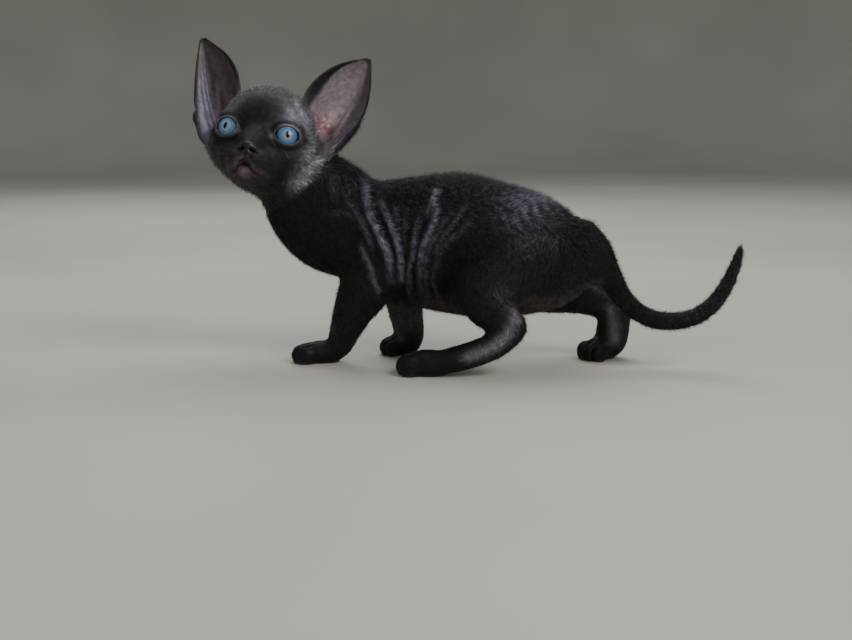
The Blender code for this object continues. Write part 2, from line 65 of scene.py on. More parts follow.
# Centre lines from the root of each part to its end: x, y, z and the mean radius there
BONES = {
    "trunk": (
        (-60, 17.5, 57, 14), (-50, 16, 62, 21), (-36, 13.5, 62, 25), (-20, 10.5, 60, 29), (-5, 8, 59, 31),
        (10, 5.5, 56.5, 31), (26, 2.5, 55, 29), (39, 0, 53.5, 26), (50, -2, 53, 20), (57.5, -3.5, 53, 13),
    ),
    "neck": (
        (-92, 11, 100, 18), (-83, 13, 91, 20), (-74, 15, 79.5, 23), (-64, 16.5, 70, 23),
        (-54, 16.5, 65, 22),
    ),
    "tail": (
        (58, -3, 59, 9), (66.5, -4.6, 48.5, 6.4), (73.5, -5.8, 35.5, 5.4), (82.5, -7.3, 27, 5),
        (93, -9.2, 23.6, 4.9), (104.6, -11.3, 24.7, 4.7), (114, -13, 30, 4.5), (121, -14.4, 39.3, 4.1),
        (127.6, -15.8, 60, 2.5),
    ),
    "front_left": (
        (-44, 3, 58, 12), (-44, 3, 50, 12.5), (-50, 3.5, 37, 11), (-55.8, 5, 26, 9.4), (-60, 7, 15.5, 7.7),
        (-64, 8, 9, 7), (-73, 9, 6, 7), (-84, 10, 4, 6),
    ),
    "front_right": (
        (-38, 22, 58, 12), (-35, 23, 50, 12), (-31.5, 25, 36, 10.5), (-30.5, 27, 23, 8.6),
        (-28.5, 29, 12.5, 7.7), (-31, 29.6, 7.5, 7), (-43, 32, 4, 6),
    ),
    "hind_left": (
        (34, -10, 57, 13), (24, -15.5, 53, 16), (6, -20.5, 43, 13), (8, -24.5, 35, 10.5), (16, -27, 28, 8),
        (22.5, -27.5, 22, 5.8), (14, -27.3, 16.2, 6.4), (3, -26.4, 11, 6.7), (-8, -24.8, 7.6, 6.8),
        (-32, -21, 5, 6.5),
    ),
    "hind_right": (
        (46, 6, 57, 12), (41, 14, 49, 14), (42, 19, 36, 11.5), (54, 20.5, 33, 9.5), (68, 21, 28.5, 8),
        (74.5, 21, 22, 7.6), (74, 20.6, 14, 8), (70, 19.8, 7, 7.8), (58, 14, 5, 6.5),
    ),
}

# The ears in the head's axes: front edge, back and outer edge, from the root to the tip
EARS = {
    1: (
        ((7.5, 20, -1), (9, 19.5, 8), (8.6, 16, 19), (6.5, 19.5, 32), (2.5, 28.5, 43), (-1.2, 40.8, 49.3)),
        ((-6, 17, -1), (-12, 18, 8), (-15.5, 22.5, 17), (-16.5, 29.5, 28), (-11.5, 36, 40), (-2.5, 42, 49.6)),
        ((4, 23, -9), (4, 32.5, -5), (0.5, 39.5, 6), (-3, 44, 19), (-4, 45, 33), (-2, 43.2, 48.4)),
    ),
    -1: (
        ((7.5, 20, -1), (9, 19.5, 8), (8.8, 16, 18.5), (6.5, 18, 29.5), (2.5, 26.5, 40), (-1.2, 40.3, 48)),
        ((-6, 17, -1), (-12, 18, 8), (-15.5, 21.5, 16), (-16.5, 28, 27), (-11.5, 34.5, 39), (-2.5, 41.5, 48.2)),
        ((4, 22, -9), (4, 30, -5), (1.5, 35.5, 5), (-3, 40, 18), (-4, 42.4, 32), (-2, 42.8, 47)),
    ),
}

# Painted highlights where sleek hair shines on the hocks and wrists: places on the skin, width and strength
SHEEN_LINES = (
    (((21, -31.5, 30), (17.6, -32.5, 21), (13, -33, 16.3), (7, -33, 13), (0.4, -33, 10.6)), 2.8, 0.65),
    (((72, 14.5, 26), (73.5, 13, 17), (74.5, 12.5, 10)), 2.8, 0.35),
    (((-38, 24, 16), (-34, 23, 10)), 2.6, 0.2),
    (((-66, 2.5, 17), (-72, 2, 10)), 2.4, 0.12),
)

# The ear's small forms by shares across and along it: a ridge, upright folds with their rise, strips of painted
# shade between them, and knobs of cartilage with size and rise
EAR_SCALE = np.array((32.0, 52.0))  # millimetres that the whole shares stand for
EAR_RIDGE = EAR_SCALE * ((0.66, 0.68), (0.7, 0.58), (0.74, 0.48), (0.8, 0.38))
EAR_FOLDS = ((0.83, 0.5), (0.88, 0.6), (0.93, 0.6))
EAR_STRIPS = (0.855, 0.905)
EAR_KNOBS = (
    (0.44, 0.44, 1.3, 1.5), (0.5, 0.38, 1.5, 1.7), (0.59, 0.42, 1.2, 1.4),
    (0.56, 0.33, 1.3, 1.5), (0.3, 0.36, 2.6, 1.6), (0.27, 0.3, 2.6, 1.6),
)


class Side(Enum):
    """The cat's left or right."""

    LEFT = 1
    RIGHT = -1

    def of(self, point: tuple[float, float, float]) -> np.ndarray:
        """A place given for the left side, on this side."""
        return np.array((point[0], point[1] * self.value, point[2]), float)

    @property
    def word(self) -> str:
        """The side's name, as the pieces use it."""
        return self.name.lower()


@dataclass(frozen=True)
class HeadAxes:
    """The head's own axes: forward, left and up from a point level with the eyes and 20 mm behind them."""

    origin: tuple[float, float, float] = (-97.6, 8, 107.8)
    yaw: float = 5
    pitch: float = 18
    roll: float = 8.5
    mouth_turn: float = -0.8

    def matrix(self) -> Matrix:
        """The matrix from the head's axes, in metres, to the frame."""
        yaw, pitch, roll = (math.radians(a) for a in (self.yaw, self.pitch, self.roll))
        level = math.cos(pitch)
        forward = Vector((-math.sin(yaw) * level, -math.cos(yaw) * level, math.sin(pitch)))
        left = Vector((math.cos(yaw), -math.sin(yaw), 0))
        up = forward.cross(left)
        turn = Matrix.Rotation(-roll, 3, forward)
        axes = Matrix((forward, turn @ left, turn @ up)).transposed()
        place = Vector(np.array(self.origin) + CENTRING) * MM
        return Matrix.Translation(place) @ axes.to_4x4()

    def local(self, points: np.ndarray) -> np.ndarray:
        """Places in the frame, in metres, as places in the head's axes, in millimetres."""
        turn = np.array(self.matrix().to_3x3())
        return (points - np.array(self.matrix().translation)) @ turn / MM

    def outward(self, vectors: np.ndarray) -> np.ndarray:
        """Directions in the head's axes as directions in the frame."""
        return vectors @ np.array(self.matrix().to_3x3()).T

    def muzzle_turn(self, local: np.ndarray) -> np.ndarray:
        """How far the mouth is turned to the cat's left at places in the head's axes, in millimetres."""
        ahead, sideways, up = local.T
        return self.mouth_turn * ramp(ahead, 17, 25) * ramp(np.abs(sideways), 11.5, 8) * ramp(up, -12, -15.5)


HEAD = HeadAxes()


def unit_rows(vectors: np.ndarray) -> np.ndarray:
    """Each row at length 1."""
    return vectors / np.maximum(np.linalg.norm(vectors, axis=-1, keepdims=True), 1e-12)


def ramp(values: np.ndarray, low: float, high: float) -> np.ndarray:
    """A smooth rise from 0 at low to 1 at high; it falls where high is the smaller."""
    t = np.clip((values - low) / (high - low), 0, 1)
    return t * t * (3 - 2 * t)


def bell(distance: np.ndarray, width: float) -> np.ndarray:
    """A round hill of height 1 that falls off over the width."""
    return np.exp(-((distance / width) ** 2))


def curve_through(rows: tuple, per_span: int) -> np.ndarray:
    """Rows on a smooth curve through the given rows.

    Args:
        rows: the rows of numbers that the curve passes through.
        per_span: steps from each row to the next.

    Returns:
        The rows along the curve, ends included.
    """
    table = np.array(rows, float)
    ends = np.vstack([2 * table[0] - table[1], table, 2 * table[-1] - table[-2]])
    found = []
    for i in range(1, len(ends) - 2):
        a, b, c, d = ends[i - 1 : i + 3]
        slope, bow, twist = c - a, 2 * a - 5 * b + 4 * c - d, 3 * b - a - 3 * c + d
        for t in np.arange(per_span) / per_span:
            found.append(0.5 * (2 * b + slope * t + bow * t**2 + twist * t**3))
    return np.array(found + [table[-1]])


def nearest_on(
    line: np.ndarray | tuple, points: np.ndarray, reach: float = 12
) -> tuple[np.ndarray, np.ndarray, np.ndarray]:
    """Where the points lie along a line of straight spans.

    Args:
        line: the line's places, one a row.
        points: the points to measure, one a row.
        reach: points further than this outside the line's box aren't measured, and count as very far.

    Returns:
        Each point's distance from the line, its share along it from 0 to 1, and the line's direction there.
    """
    line = np.asarray(line, float)
    lengths = np.linalg.norm(np.diff(line, axis=0), axis=1)
    starts = np.concatenate([[0], np.cumsum(lengths)])
    distance = np.full(len(points), FAR)
    share = np.zeros(len(points))
    direction = np.zeros((len(points), line.shape[1]))
    inside = ((points > line.min(axis=0) - reach) & (points < line.max(axis=0) + reach)).all(axis=1)
    near = points[inside]
    best, where, which = np.full(len(near), FAR), np.zeros(len(near)), np.zeros(len(near), int)
    for i, length in enumerate(lengths):
        along = (line[i + 1] - line[i]) / length
        way = near - line[i]
        part = np.clip(way @ along, 0, length)
        far = np.sqrt(((way - part[:, None] * along) ** 2).sum(axis=1))
        nearer = far < best
        best[nearer] = far[nearer]
        where[nearer] = (starts[i] + part[nearer]) / starts[-1]
        which[nearer] = i
    distance[inside], share[inside] = best, where
    direction[inside] = (np.diff(line, axis=0) / lengths[:, None])[which]
    return distance, share, direction


@dataclass(frozen=True)
class Fold:
    """A fold of loose skin on the near flank, with its twin on the far one."""

    line: tuple  # places along it, as x and z
    width: float
    rise: float
    sheen: tuple  # how strongly its painted highlight shows at even steps along it

    def near(self, table: np.ndarray) -> tuple[np.ndarray, np.ndarray]:
        """How far points lie from the fold, seen from the side, and their shares along it."""
        return nearest_on(curve_through(self.line, 6), table[:, [0, 2]])[:2]


FOLDS = (
    Fold(((-50, 96), (-49.8, 84), (-48, 75.4), (-44.3, 67.9), (-40.4, 60), (-38.1, 54.5), (-37.2, 43)),
         1.9, 1.6, (0.15, 0.6, 0.7, 1.0, 1.1, 0.9, 0.5)),
    Fold(((-44, 81), (-39.1, 73.3), (-36.3, 68.2), (-33.9, 61.2), (-32.8, 54.7), (-32.4, 43)),
         1.5, 1.4, (0.2, 0.6, 0.9, 1.1, 1.0, 0.5)),
    Fold(((-35.6, 79), (-34.2, 70)), 1.2, 0.8, (0.2, 0.4, 0.2)),
    Fold(((-29.6, 79), (-30.7, 70.7), (-30.7, 60)), 1.1, 0.8, (0.1, 0.25, 0.1)),
    Fold(((-23.4, 75.5), (-25.6, 66.8), (-26.4, 61.5), (-27.2, 54.4), (-28.8, 46.9), (-28.5, 32)),
         1.3, 1.2, (0.15, 0.5, 0.45, 0.3, 0.15)),
    Fold(((-15.4, 78), (-18.1, 68.8), (-20.1, 64.7), (-22.4, 59.3),
          (-23.3, 52.1), (-23.8, 45.3), (-22.1, 33)), 1.5, 1.4, (0.4, 0.95, 0.8, 0.35, 0.2, 0.1)),
    Fold(((-15.5, 86), (-20.2, 75.5)), 1.5, 1.1, (0.5, 0.9, 0.3)),
    Fold(((-8.5, 77), (-12.7, 71.2), (-16.7, 64.2), (-19.5, 58.5), (-20.6, 52.2), (-20.5, 42.9), (-18.5, 31)),
         1.2, 1.0, (0.1, 0.4, 0.25, 0.2, 0.1)),
    Fold(((-1.5, 80), (-7.4, 71.9), (-12.1, 65.7), (-15.8, 60.2), (-17.6, 54)), 1.1, 1.0, (0.2, 0.4, 0.1)),
    Fold(((2, 74.5), (-5.7, 66.8), (-11.1, 62), (-14.6, 57.2), (-16.5, 49), (-16.9, 42.4), (-13, 31)),
         1.2, 0.9, (0.15, 0.3, 0.2, 0.2, 0.1)),
    Fold(((-56.5, 79), (-51.5, 70.7), (-48.3, 64.6), (-46.4, 58)), 1.4, 1.1, (0.1, 0.45, 0.2)),
    Fold(((-66, 74), (-60.5, 75.5), (-54.5, 72)), 1.2, 0.7, (0.1, 0.15, 0.1)),
    Fold(((-51.8, 60), (-47.7, 51.2), (-45, 46)), 1.4, 0.9, (0.2, 0.7, 0.5)),
    Fold(((-46, 45), (-42, 36)), 1.4, 0.8, (0.3, 0.8, 0.3)),
    Fold(((-64.5, 95), (-65.2, 83)), 1.5, 0.9, (0.1, 0.3, 0.1)),
    Fold(((-58, 92), (-59, 84), (-57, 78)), 1.4, 0.8, (0.1, 0.2, 0.1)),
)


@dataclass(frozen=True)
class Mound:
    """A small rounded form of the face, or a hollow where its rise is below 0, alike on both sides."""

    wide: float
    up: float
    half_width: float
    half_height: float
    rise: float = 1

    def at(self, wide: np.ndarray, up: np.ndarray) -> np.ndarray:
        """Its rise at places given by their distance from the face's middle and their height."""
        across, over = (wide - self.wide) / self.half_width, (up - self.up) / self.half_height
        return self.rise * bell(np.hypot(across, over), 1)


@dataclass(frozen=True)
class Face:
    """Lines and forms of the face, as sideways and upward places in the head's axes."""

    mouth: tuple = ((0, -16.6), (1.7, -18.2), (3.4, -20), (5.4, -21.4), (7.8, -21.6))
    philtrum: tuple = ((0, -13.4), (0, -15), (0, -16.6))
    nostril_slit: tuple = ((2.6, -12.1), (5.1, -12.7))
    nostril: Mound = Mound(2.6, -12.0, 1.33, 0.8075)
    mouth_gap: Mound = Mound(0, -17.9, 2.2, 1.0)
    lower_lip: Mound = Mound(0, -21.3, 3.4, 2.6)
    # Height and half the width of the nose's leather
    leather_width: tuple = ((-14.6, 0.8), (-13.2, 2.4), (-11.8, 5.0), (-9.8, 4.7), (-8.6, 3.4))
    mounds: tuple[Mound, ...] = (
        Mound(0, -17.9, 2.4, 1.1, -1.5),  # the gap between the lips
        Mound(0, -21.0, 3.4, 1.6, 0.5),  # the lower lip
        Mound(4.3, -15.0, 2.9, 2.9 / 1.1, 0.8),  # the pad of the upper lip
        Mound(3.9, -10.7, 1.0, 1.0, 0.45),  # the wing of the nose
        Mound(1.4, -13.4, 0.7, 0.7, 0.3),  # the foot of the nose
        Mound(0, -9.0, 2.6, 0.8, 0.3),  # the brow of the nose
    )

    def nostrils(self, wide: np.ndarray, up: np.ndarray) -> tuple[np.ndarray, np.ndarray]:
        """How far places on the face lie in a nostril, and in the slit that runs outwards from it."""
        slit = nearest_on(self.nostril_slit, np.stack([wide, up], axis=1))[0]
        return self.nostril.at(wide, up), bell(slit, 0.5)


FACE = Face()


def new_object(name: str, bm: bmesh.types.BMesh, outwards: bool = True) -> bpy.types.Object:
    """Makes a shown object of the bmesh, which is used up.

    Args:
        name: the object's name.
        bm: the shape, in metres in the frame.
        outwards: whether the faces are turned to point outwards.

    Returns:
        The new object, at the origin.
    """
    bm.normal_update()
    if outwards:
        bmesh.ops.recalc_face_normals(bm, faces=bm.faces)
    mesh = bpy.data.meshes.new(name)
    bm.to_mesh(mesh)
    bm.free()
    obj = bpy.data.objects.new(name, mesh)
    bpy.context.scene.collection.objects.link(obj)
    return obj


def bridge_rings(bm: bmesh.types.BMesh, rings: list[list[Vector]], closed: bool = False) -> None:
    """Adds a tube through rings of places.

    Args:
        bm: the mesh to add to.
        rings: the places round the tube, ring after ring.
        closed: whether the last ring meets the first; otherwise the ends are filled.
    """
    loops = []
    for ring in rings:
        verts = bmesh.ops.create_circle(bm, segments=len(ring), radius=1)["verts"]
        for vert, place in zip(verts, ring):
            vert.co = place
        loops.append({edge for vert in verts for edge in vert.link_edges})
    for first, second in zip(loops, loops[1:] + loops[:1] if closed else loops[1:]):
        bmesh.ops.bridge_loops(bm, edges=list(first | second))
    bmesh.ops.holes_fill(bm, edges=[edge for edge in bm.edges if edge.is_boundary], sides=0)


def discard(*objects: bpy.types.Object) -> None:
    """Removes the objects and their meshes."""
    for obj in objects:
        mesh = obj.data
        bpy.data.objects.remove(obj)
        bpy.data.meshes.remove(mesh)


def settle(obj: bpy.types.Object) -> bpy.types.Object:
    """Applies the object's modifiers to its mesh."""
    graph = bpy.context.evaluated_depsgraph_get()
    mesh = bpy.data.meshes.new_from_object(obj.evaluated_get(graph))
    obj.modifiers.clear()
    old, obj.data = obj.data, mesh
    bpy.data.meshes.remove(old)
    return obj


class Surface:
    """The points, edges and triangles of a mesh as arrays, and what is worked out on them."""

    def __init__(self, obj: bpy.types.Object) -> None:
        """Reads the object's mesh."""
        self.obj = obj
        mesh = obj.data
        self.points = np.empty((len(mesh.vertices), 3), np.float32)
        mesh.vertices.foreach_get("co", self.points.ravel())
        self.points = self.points.astype(float)
        self.edges = np.empty((len(mesh.edges), 2), np.int32)
        mesh.edges.foreach_get("vertices", self.edges.ravel())
        self.degree = np.maximum(np.bincount(self.edges.ravel(), minlength=len(self.points)), 1)

    @property
    def normals(self) -> np.ndarray:
        """The normals at the points."""
        found = np.empty((len(self.points), 3), np.float32)
        self.obj.data.vertex_normals.foreach_get("vector", found.ravel())
        return found.astype(float)

    def triangles(self) -> np.ndarray:
        """The mesh's triangles, as rows of three points."""
        mesh = self.obj.data
        mesh.calc_loop_triangles()
        found = np.empty((len(mesh.loop_triangles), 3), np.int32)
        mesh.loop_triangles.foreach_get("vertices", found.ravel())
        return found

    def spread(self, values: np.ndarray, rounds: int, share: np.ndarray | float = 0.5) -> np.ndarray:
        """Evens out a field over the surface.

        Args:
            values: a number or a row of numbers for each point.
            rounds: how often each point moves towards the mean of its neighbours.
            share: how far it moves each time, for all or for each point.

        Returns:
            The evened field.
        """
        field = values.reshape(len(values), -1).astype(float).copy()
        first, second = self.edges.T
        step = share if np.isscalar(share) else np.asarray(share)
        for _ in range(rounds):
            for column in range(field.shape[1]):
                value = field[:, column]
                total = np.bincount(first, value[second], len(value))
                total += np.bincount(second, value[first], len(value))
                field[:, column] = value + step * (total / self.degree - value)
        return field.reshape(values.shape)

    def store(self) -> None:
        """Writes the points back to the mesh."""
        self.obj.data.vertices.foreach_set("co", self.points.astype(np.float32).ravel())
        self.obj.data.update()


@dataclass(frozen=True)
class Eye:
    """One eye: its globe, the opening between its lids and the dark rim of the lids."""

    side: Side
    centre: tuple[float, float, float] = (11.8, 12.2, 0)
    axis: tuple[float, float, float] = (0.93, 0.36, 0.03)
    radius: float = 8.4
    cornea_radius: float = 7.0
    cornea_rise: float = 2.1
    lid_radius: float = 9.25
    opening: tuple[float, float] = (5.85, 4.3)
    slant: float = 8
    flare: tuple = ((2, 0.85), (7.4, 1), (9.2, 1.04), (13, 1.3))
    rim_radius: float = 0.38
    rim_share: float = 1.03  # the rim's size against the opening
    gaze: float = 0.1

    @property
    def name(self) -> str:
        """The eye's solid."""
        return f"eye_{self.side.word}"

    def place(self) -> np.ndarray:
        """The globe's centre in the head's axes."""
        return self.side.of(self.centre)

    def axes(self) -> np.ndarray:
        """Ahead, towards the outer corner and up for this eye, as rows in the head's axes."""
        ahead = Vector(self.side.of(self.axis)).normalized()
        outwards = Vector((0, self.side.value, 0))
        across = (outwards - ahead * ahead.dot(outwards)).normalized()
        above = ahead.cross(across) * self.side.value
        if above.z < 0:
            above = -above
        turn = math.radians(self.slant)
        outer = across * math.cos(turn) + above * math.sin(turn)
        upper = above * math.cos(turn) - across * math.sin(turn)
        return np.array([ahead, outer, upper])

    def outline(self, angle: np.ndarray, share: float = 1) -> tuple[np.ndarray, np.ndarray]:
        """The lids' edge: how far outwards and up it lies at an angle round the eye."""
        wide, high = np.cos(angle), np.sin(angle)
        return wide * self.opening[0] * share, high * (1 - 0.16 * wide**2) * self.opening[1] * share

    def to_frame(self) -> Matrix:
        """The matrix from the eye's axes, in millimetres, to the frame."""
        axes = Matrix(self.axes()).transposed().to_4x4()
        return HEAD.matrix() @ Matrix.Scale(MM, 4) @ Matrix.Translation(Vector(self.place())) @ axes

    def globe(self, name: str, grown: float = 0) -> bpy.types.Object:
        """The globe with the bulge of its cornea, and a map that looks straight at the iris.

        Args:
            name: the object's name.
            grown: how much larger than the real globe it is, in millimetres.

        Returns:
            The globe's object.
        """
        bm = bmesh.new()
        bmesh.ops.create_uvsphere(bm, u_segments=48, v_segments=32, radius=1)
        bm.transform(Matrix.Rotation(math.pi / 2, 4, "Y"))
        flat = bm.loops.layers.uv.new(IRIS_MAP)
        for vert in bm.verts:
            out = vert.co.x
            ahead = self.cornea_rise * out
            ahead += math.sqrt(max(self.cornea_radius**2 - self.cornea_rise**2 * (1 - out**2), 0))
            vert.co *= max(self.radius, ahead if out > 0 else 0) + grown
        for face in bm.faces:
            for loop in face.loops:
                _, left, up = loop.vert.co
                loop[flat].uv = ((left + self.gaze) / IRIS_SPAN + 0.5, up / IRIS_SPAN + 0.5)
        bm.transform(self.to_frame())
        obj = new_object(name, bm)
        obj.data.shade_smooth()
        return obj

    def cutter(self) -> bpy.types.Object:
        """What opens the lids: an almond that widens outwards from the middle of the globe."""
        angles = np.arange(64) / 64 * math.tau
        bm = bmesh.new()
        rings = []
        for distance, share in self.flare:
            rings.append([Vector((distance, *self.outline(angle, share))) for angle in angles])
        bridge_rings(bm, rings)
        bm.transform(self.to_frame())
        return new_object("lid_cutter", bm)

    def rim(self) -> bpy.types.Object:
        """The moist dark edge of the lids, a thin roll that lies on the globe."""
        rings = []
        for angle in np.arange(96) / 96 * math.tau:
            wide, high = self.outline(angle, self.rim_share)
            here = Vector((math.sqrt(self.radius**2 - wide**2 - high**2) + 0.12, wide, high))
            next_wide, next_high = self.outline(angle + 0.02, self.rim_share)
            sideways = Vector((0, next_wide - wide, next_high - high)).normalized().cross(Vector((1, 0, 0)))
            deep = Vector((self.rim_radius * 1.4, 0, 0))
            ring = []
            for turn in np.arange(8) / 8 * math.tau:
                ring.append(here + sideways * self.rim_radius * math.cos(turn) + deep * math.sin(turn))
            rings.append(ring)
        bm = bmesh.new()
        bridge_rings(bm, rings, closed=True)
        bm.transform(self.to_frame())
        obj = new_object(f"lid_rim_{self.side.word}", bm)
        obj.data.shade_smooth()
        return obj


EYES = (Eye(Side.LEFT), Eye(Side.RIGHT, gaze=0.75))


@dataclass
class OnEar:
    """Places on one ear: shares across and along it, and millimetres into its hollow and off its wall."""

    across: np.ndarray
    along: np.ndarray
    depth: np.ndarray
    distance: np.ndarray

    def flat(self) -> np.ndarray:
        """The places laid flat, in millimetres, one a row."""
        return EAR_SCALE * np.stack([self.across, self.along], axis=1)

    def from_spot(self, across: float, along: float) -> np.ndarray:
        """How far the places lie from a spot on the ear, in millimetres."""
        return np.hypot(*(self.flat() - EAR_SCALE * (across, along)).T)

    def beside_strip(self, share: float) -> np.ndarray:
        """How far across the ear the places lie from an upright strip, as shares."""
        return self.across - share - 0.06 * (self.along - 0.5)


@dataclass
class Ear:
    """One ear: a thin cup whose root is sunk in the head."""

    side: Side
    thickness: float = 1.15
    rows: int = 64
    columns: int = 56

    def __post_init__(self) -> None:
        """Lays a fine grid over the wall's middle, in which places are looked up."""
        grid = np.meshgrid(np.linspace(0, 1, 80), np.linspace(0, 1, 90))
        u, t = self.grid = tuple(shares.ravel() for shares in grid)
        step = 0.01
        self.here = self.middle(u, t)
        step_u = self.middle(np.clip(u + step, 0, 1), t) - self.middle(np.clip(u - step, 0, 1), t)
        step_t = self.middle(u, np.clip(t + step, 0, 1)) - self.middle(u, np.clip(t - step, 0, 1))
        self.inwards = unit_rows(np.cross(step_u, step_t)) * self.side.value
        self.tree = KDTree(len(self.here))
        for i, place in enumerate(self.here):
            self.tree.insert(place, i)
        self.tree.balance()

    def middle(self, across: np.ndarray, along: np.ndarray) -> np.ndarray:
        """Places in the middle of the ear's wall, in the head's axes.

        Args:
            across: shares from the front edge, over the back, to the outer edge.
            along: shares from the root to the tip.

        Returns:
            The places, one a row.
        """
        lines = [curve_through([self.side.of(p) for p in line], 12) for line in EARS[self.side.value]]
        row = along * (len(lines[0]) - 1)
        low = np.clip(row.astype(int), 0, len(lines[0]) - 2)
        part = (row - low)[:, None]
        front, back, outer = (line[low] * (1 - part) + line[low + 1] * part for line in lines)
        t = across[:, None]
        bend = 2 * back - 0.5 * (front + outer)
        return front * (1 - t) ** 2 + bend * 2 * t * (1 - t) + outer * t**2

    def wall(self) -> bpy.types.Object:
        """The cup, with its thickness."""
        bm = bmesh.new()
        bmesh.ops.create_grid(bm, x_segments=self.columns, y_segments=self.rows, size=1)
        verts = list(bm.verts)
        shares = np.array([(v.co.x, v.co.y) for v in verts]) / 2 + 0.5
        for vert, place in zip(verts, self.middle(shares[:, 0], shares[:, 1])):
            vert.co = Vector(place) * MM
        bm.transform(HEAD.matrix())
        obj = new_object("ear_wall", bm)
        shell = obj.modifiers.new("Thickness", "SOLIDIFY")
        shell.thickness = self.thickness * MM
        shell.offset = 0
        return settle(obj)

    def shares(self, points: np.ndarray) -> OnEar:
        """Where points in the frame lie on this ear.

        Args:
            points: places in the frame, in metres.

        Returns:
            Their places on the ear.
        """
        local = HEAD.local(points)
        ahead, outwards, up = local[:, 0], local[:, 1] * self.side.value, local[:, 2]
        near = np.flatnonzero((outwards > 13) & (np.abs(ahead + 4) < 20) & (up > -16) & (up < 60))
        found = np.array([self.tree.find(place)[1] for place in local[near]], int)
        result = OnEar(*(np.full(len(points), start) for start in (0.0, 0.0, 0.0, 99.0)))
        if len(near):
            way = local[near] - self.here[found]
            result.across[near], result.along[near] = (shares[found] for shares in self.grid)
            result.distance[near] = np.linalg.norm(way, axis=1)
            result.depth[near] = (way * self.inwards[found]).sum(axis=1)
        return result

    def outwards(self, on_ear: OnEar) -> np.ndarray:
        """The way along the wall towards its outer edge, in the frame, at places on the ear."""
        share = np.clip(on_ear.across, 0.1, 1)
        way = self.middle(share, on_ear.along) - self.middle(share - 0.05, on_ear.along)
        return HEAD.outward(unit_rows(way))


EAR_PAIR = (Ear(Side.LEFT), Ear(Side.RIGHT))


class BodyMap:
    """Where points of the skin lie on the cat, on the head or along which bone, and how hair lies there."""

    parts = tuple(BONES)
    head_plane = ((-82, 13, 89), (-0.68, -0.15, 0.71))

    def __init__(self, points: np.ndarray, normals: np.ndarray, turned: bool = True) -> None:
        """Places the points.

        Args:
            points: places in the frame, in metres.
            normals: the skin's normals there.
            turned: whether the muzzle has had its turn, which is then taken off.
        """
        self.table = points / MM - CENTRING
        self.local = HEAD.local(points)
        if turned:
            self.local[:, 1] -= HEAD.muzzle_turn(self.local)
        self.normals = normals
        place, ahead = (np.array(row, float) for row in self.head_plane)
        self.head = ramp((self.table - place) @ unit_rows(ahead), -5, 6)
        ratios, shares, directions = [], [], []
        for rows in BONES.values():
            line = curve_through(rows, 2)
            distance, share, direction = nearest_on(line[:, :3], self.table, 45)
            radius = np.interp(share, np.linspace(0, 1, len(line)), line[:, 3])
            ratios.append(distance / radius)
            shares.append(share)
            directions.append(direction)
        ratios = np.array(ratios)
        self.part = ratios.argmin(axis=0)
        self.weights = np.exp(-5 * (ratios - ratios.min(axis=0)))
        self.weights /= self.weights.sum(axis=0)
        self.shares = np.array(shares)
        self.directions = np.array(directions)
        self.ears = [ear.shares(points) for ear in EAR_PAIR]

    def off_middle(self) -> np.ndarray:
        """Millimetres that the points lie to the right of the upright plane through the trunk."""
        return self.table[:, 1] - 4.9 + 0.171 * (self.table[:, 0] - 12.5)

    def wave(self) -> np.ndarray:
        """The ripples of the coat, alike on both sides of the trunk, from -1 to 1."""
        x, out, z = self.table[:, 0], -np.abs(self.off_middle()), self.table[:, 2]
        bend = 2.2 * np.sin(-0.17 * x + 0.23 * out + 0.15 * z)
        strength = 0.6 + 0.4 * np.sin(0.19 * x - 0.27 * out + 0.23 * z)
        return strength * np.sin(0.9 * x + 0.35 * out + 0.8 * z + bend + 0.8 * np.sin(0.5 * x + 0.9 * out))

    def weight(self, *names: str) -> np.ndarray:
        """How far the points belong to the named parts, apart from the head."""
        return sum(self.weights[self.parts.index(name)] for name in names) * (1 - self.head)

    def facing_up(self) -> np.ndarray:
        """How far the skin faces upwards."""
        return ramp(self.normals[:, 2], -0.1, 0.7)

    def down_leg(self, leg: str) -> np.ndarray:
        """From 0 on a leg's upper half to 1 near the paw."""
        return ramp(self.shares[self.parts.index(leg)], 0.5, 0.8)

    def lie(self) -> np.ndarray:
        """The way the hair lies, as unit rows along the skin."""
        trunk = self.parts.index("trunk")
        along = self.directions.copy()
        sideness = 1 - np.abs(self.normals[:, 2])
        along[trunk] = unit_rows(along[trunk]) + np.array((0, 0, -0.55)) * sideness[:, None]
        body = (self.weights[:, :, None] * along).sum(axis=0)
        nose = np.array((31.0, 0, -8.0))
        face = HEAD.outward(unit_rows(self.local - nose))
        way = unit_rows(body) * (1 - self.head[:, None]) + face * self.head[:, None]
        return self.flattened(way)

    def flattened(self, way: np.ndarray) -> np.ndarray:
        """Directions turned into the skin's plane."""
        return unit_rows(way - self.normals * (way * self.normals).sum(axis=1, keepdims=True))

    def unwrapped(self) -> np.ndarray:
        """Each point's place on an unwrap: round its bone and along it, or out from the tip of the nose."""
        side = self.part
        picked = np.arange(len(side))
        along = self.directions[side, picked]
        level = unit_rows(np.cross(along, np.array((0.31, 0.17, 0.93))))
        upright = np.cross(level, along)
        out = self.normals
        angle = np.arctan2((out * level).sum(axis=1), (out * upright).sum(axis=1)) / math.tau + 0.5
        limb = np.stack([angle, self.shares[side, picked]], axis=1)
        from_centre = unit_rows(self.local - np.array((-3.0, 0, -2.0)))
        away = np.arccos(np.clip(from_centre[:, 0], -1, 1)) / math.pi * 0.5
        turn = np.arctan2(from_centre[:, 2], from_centre[:, 1])
        face = np.stack([0.5 + away * np.cos(turn), 0.5 + away * np.sin(turn)], axis=1)
        on_head = (self.head > 0.5)[:, None]
        return np.where(on_head, face, limb) * 0.99 + 0.005


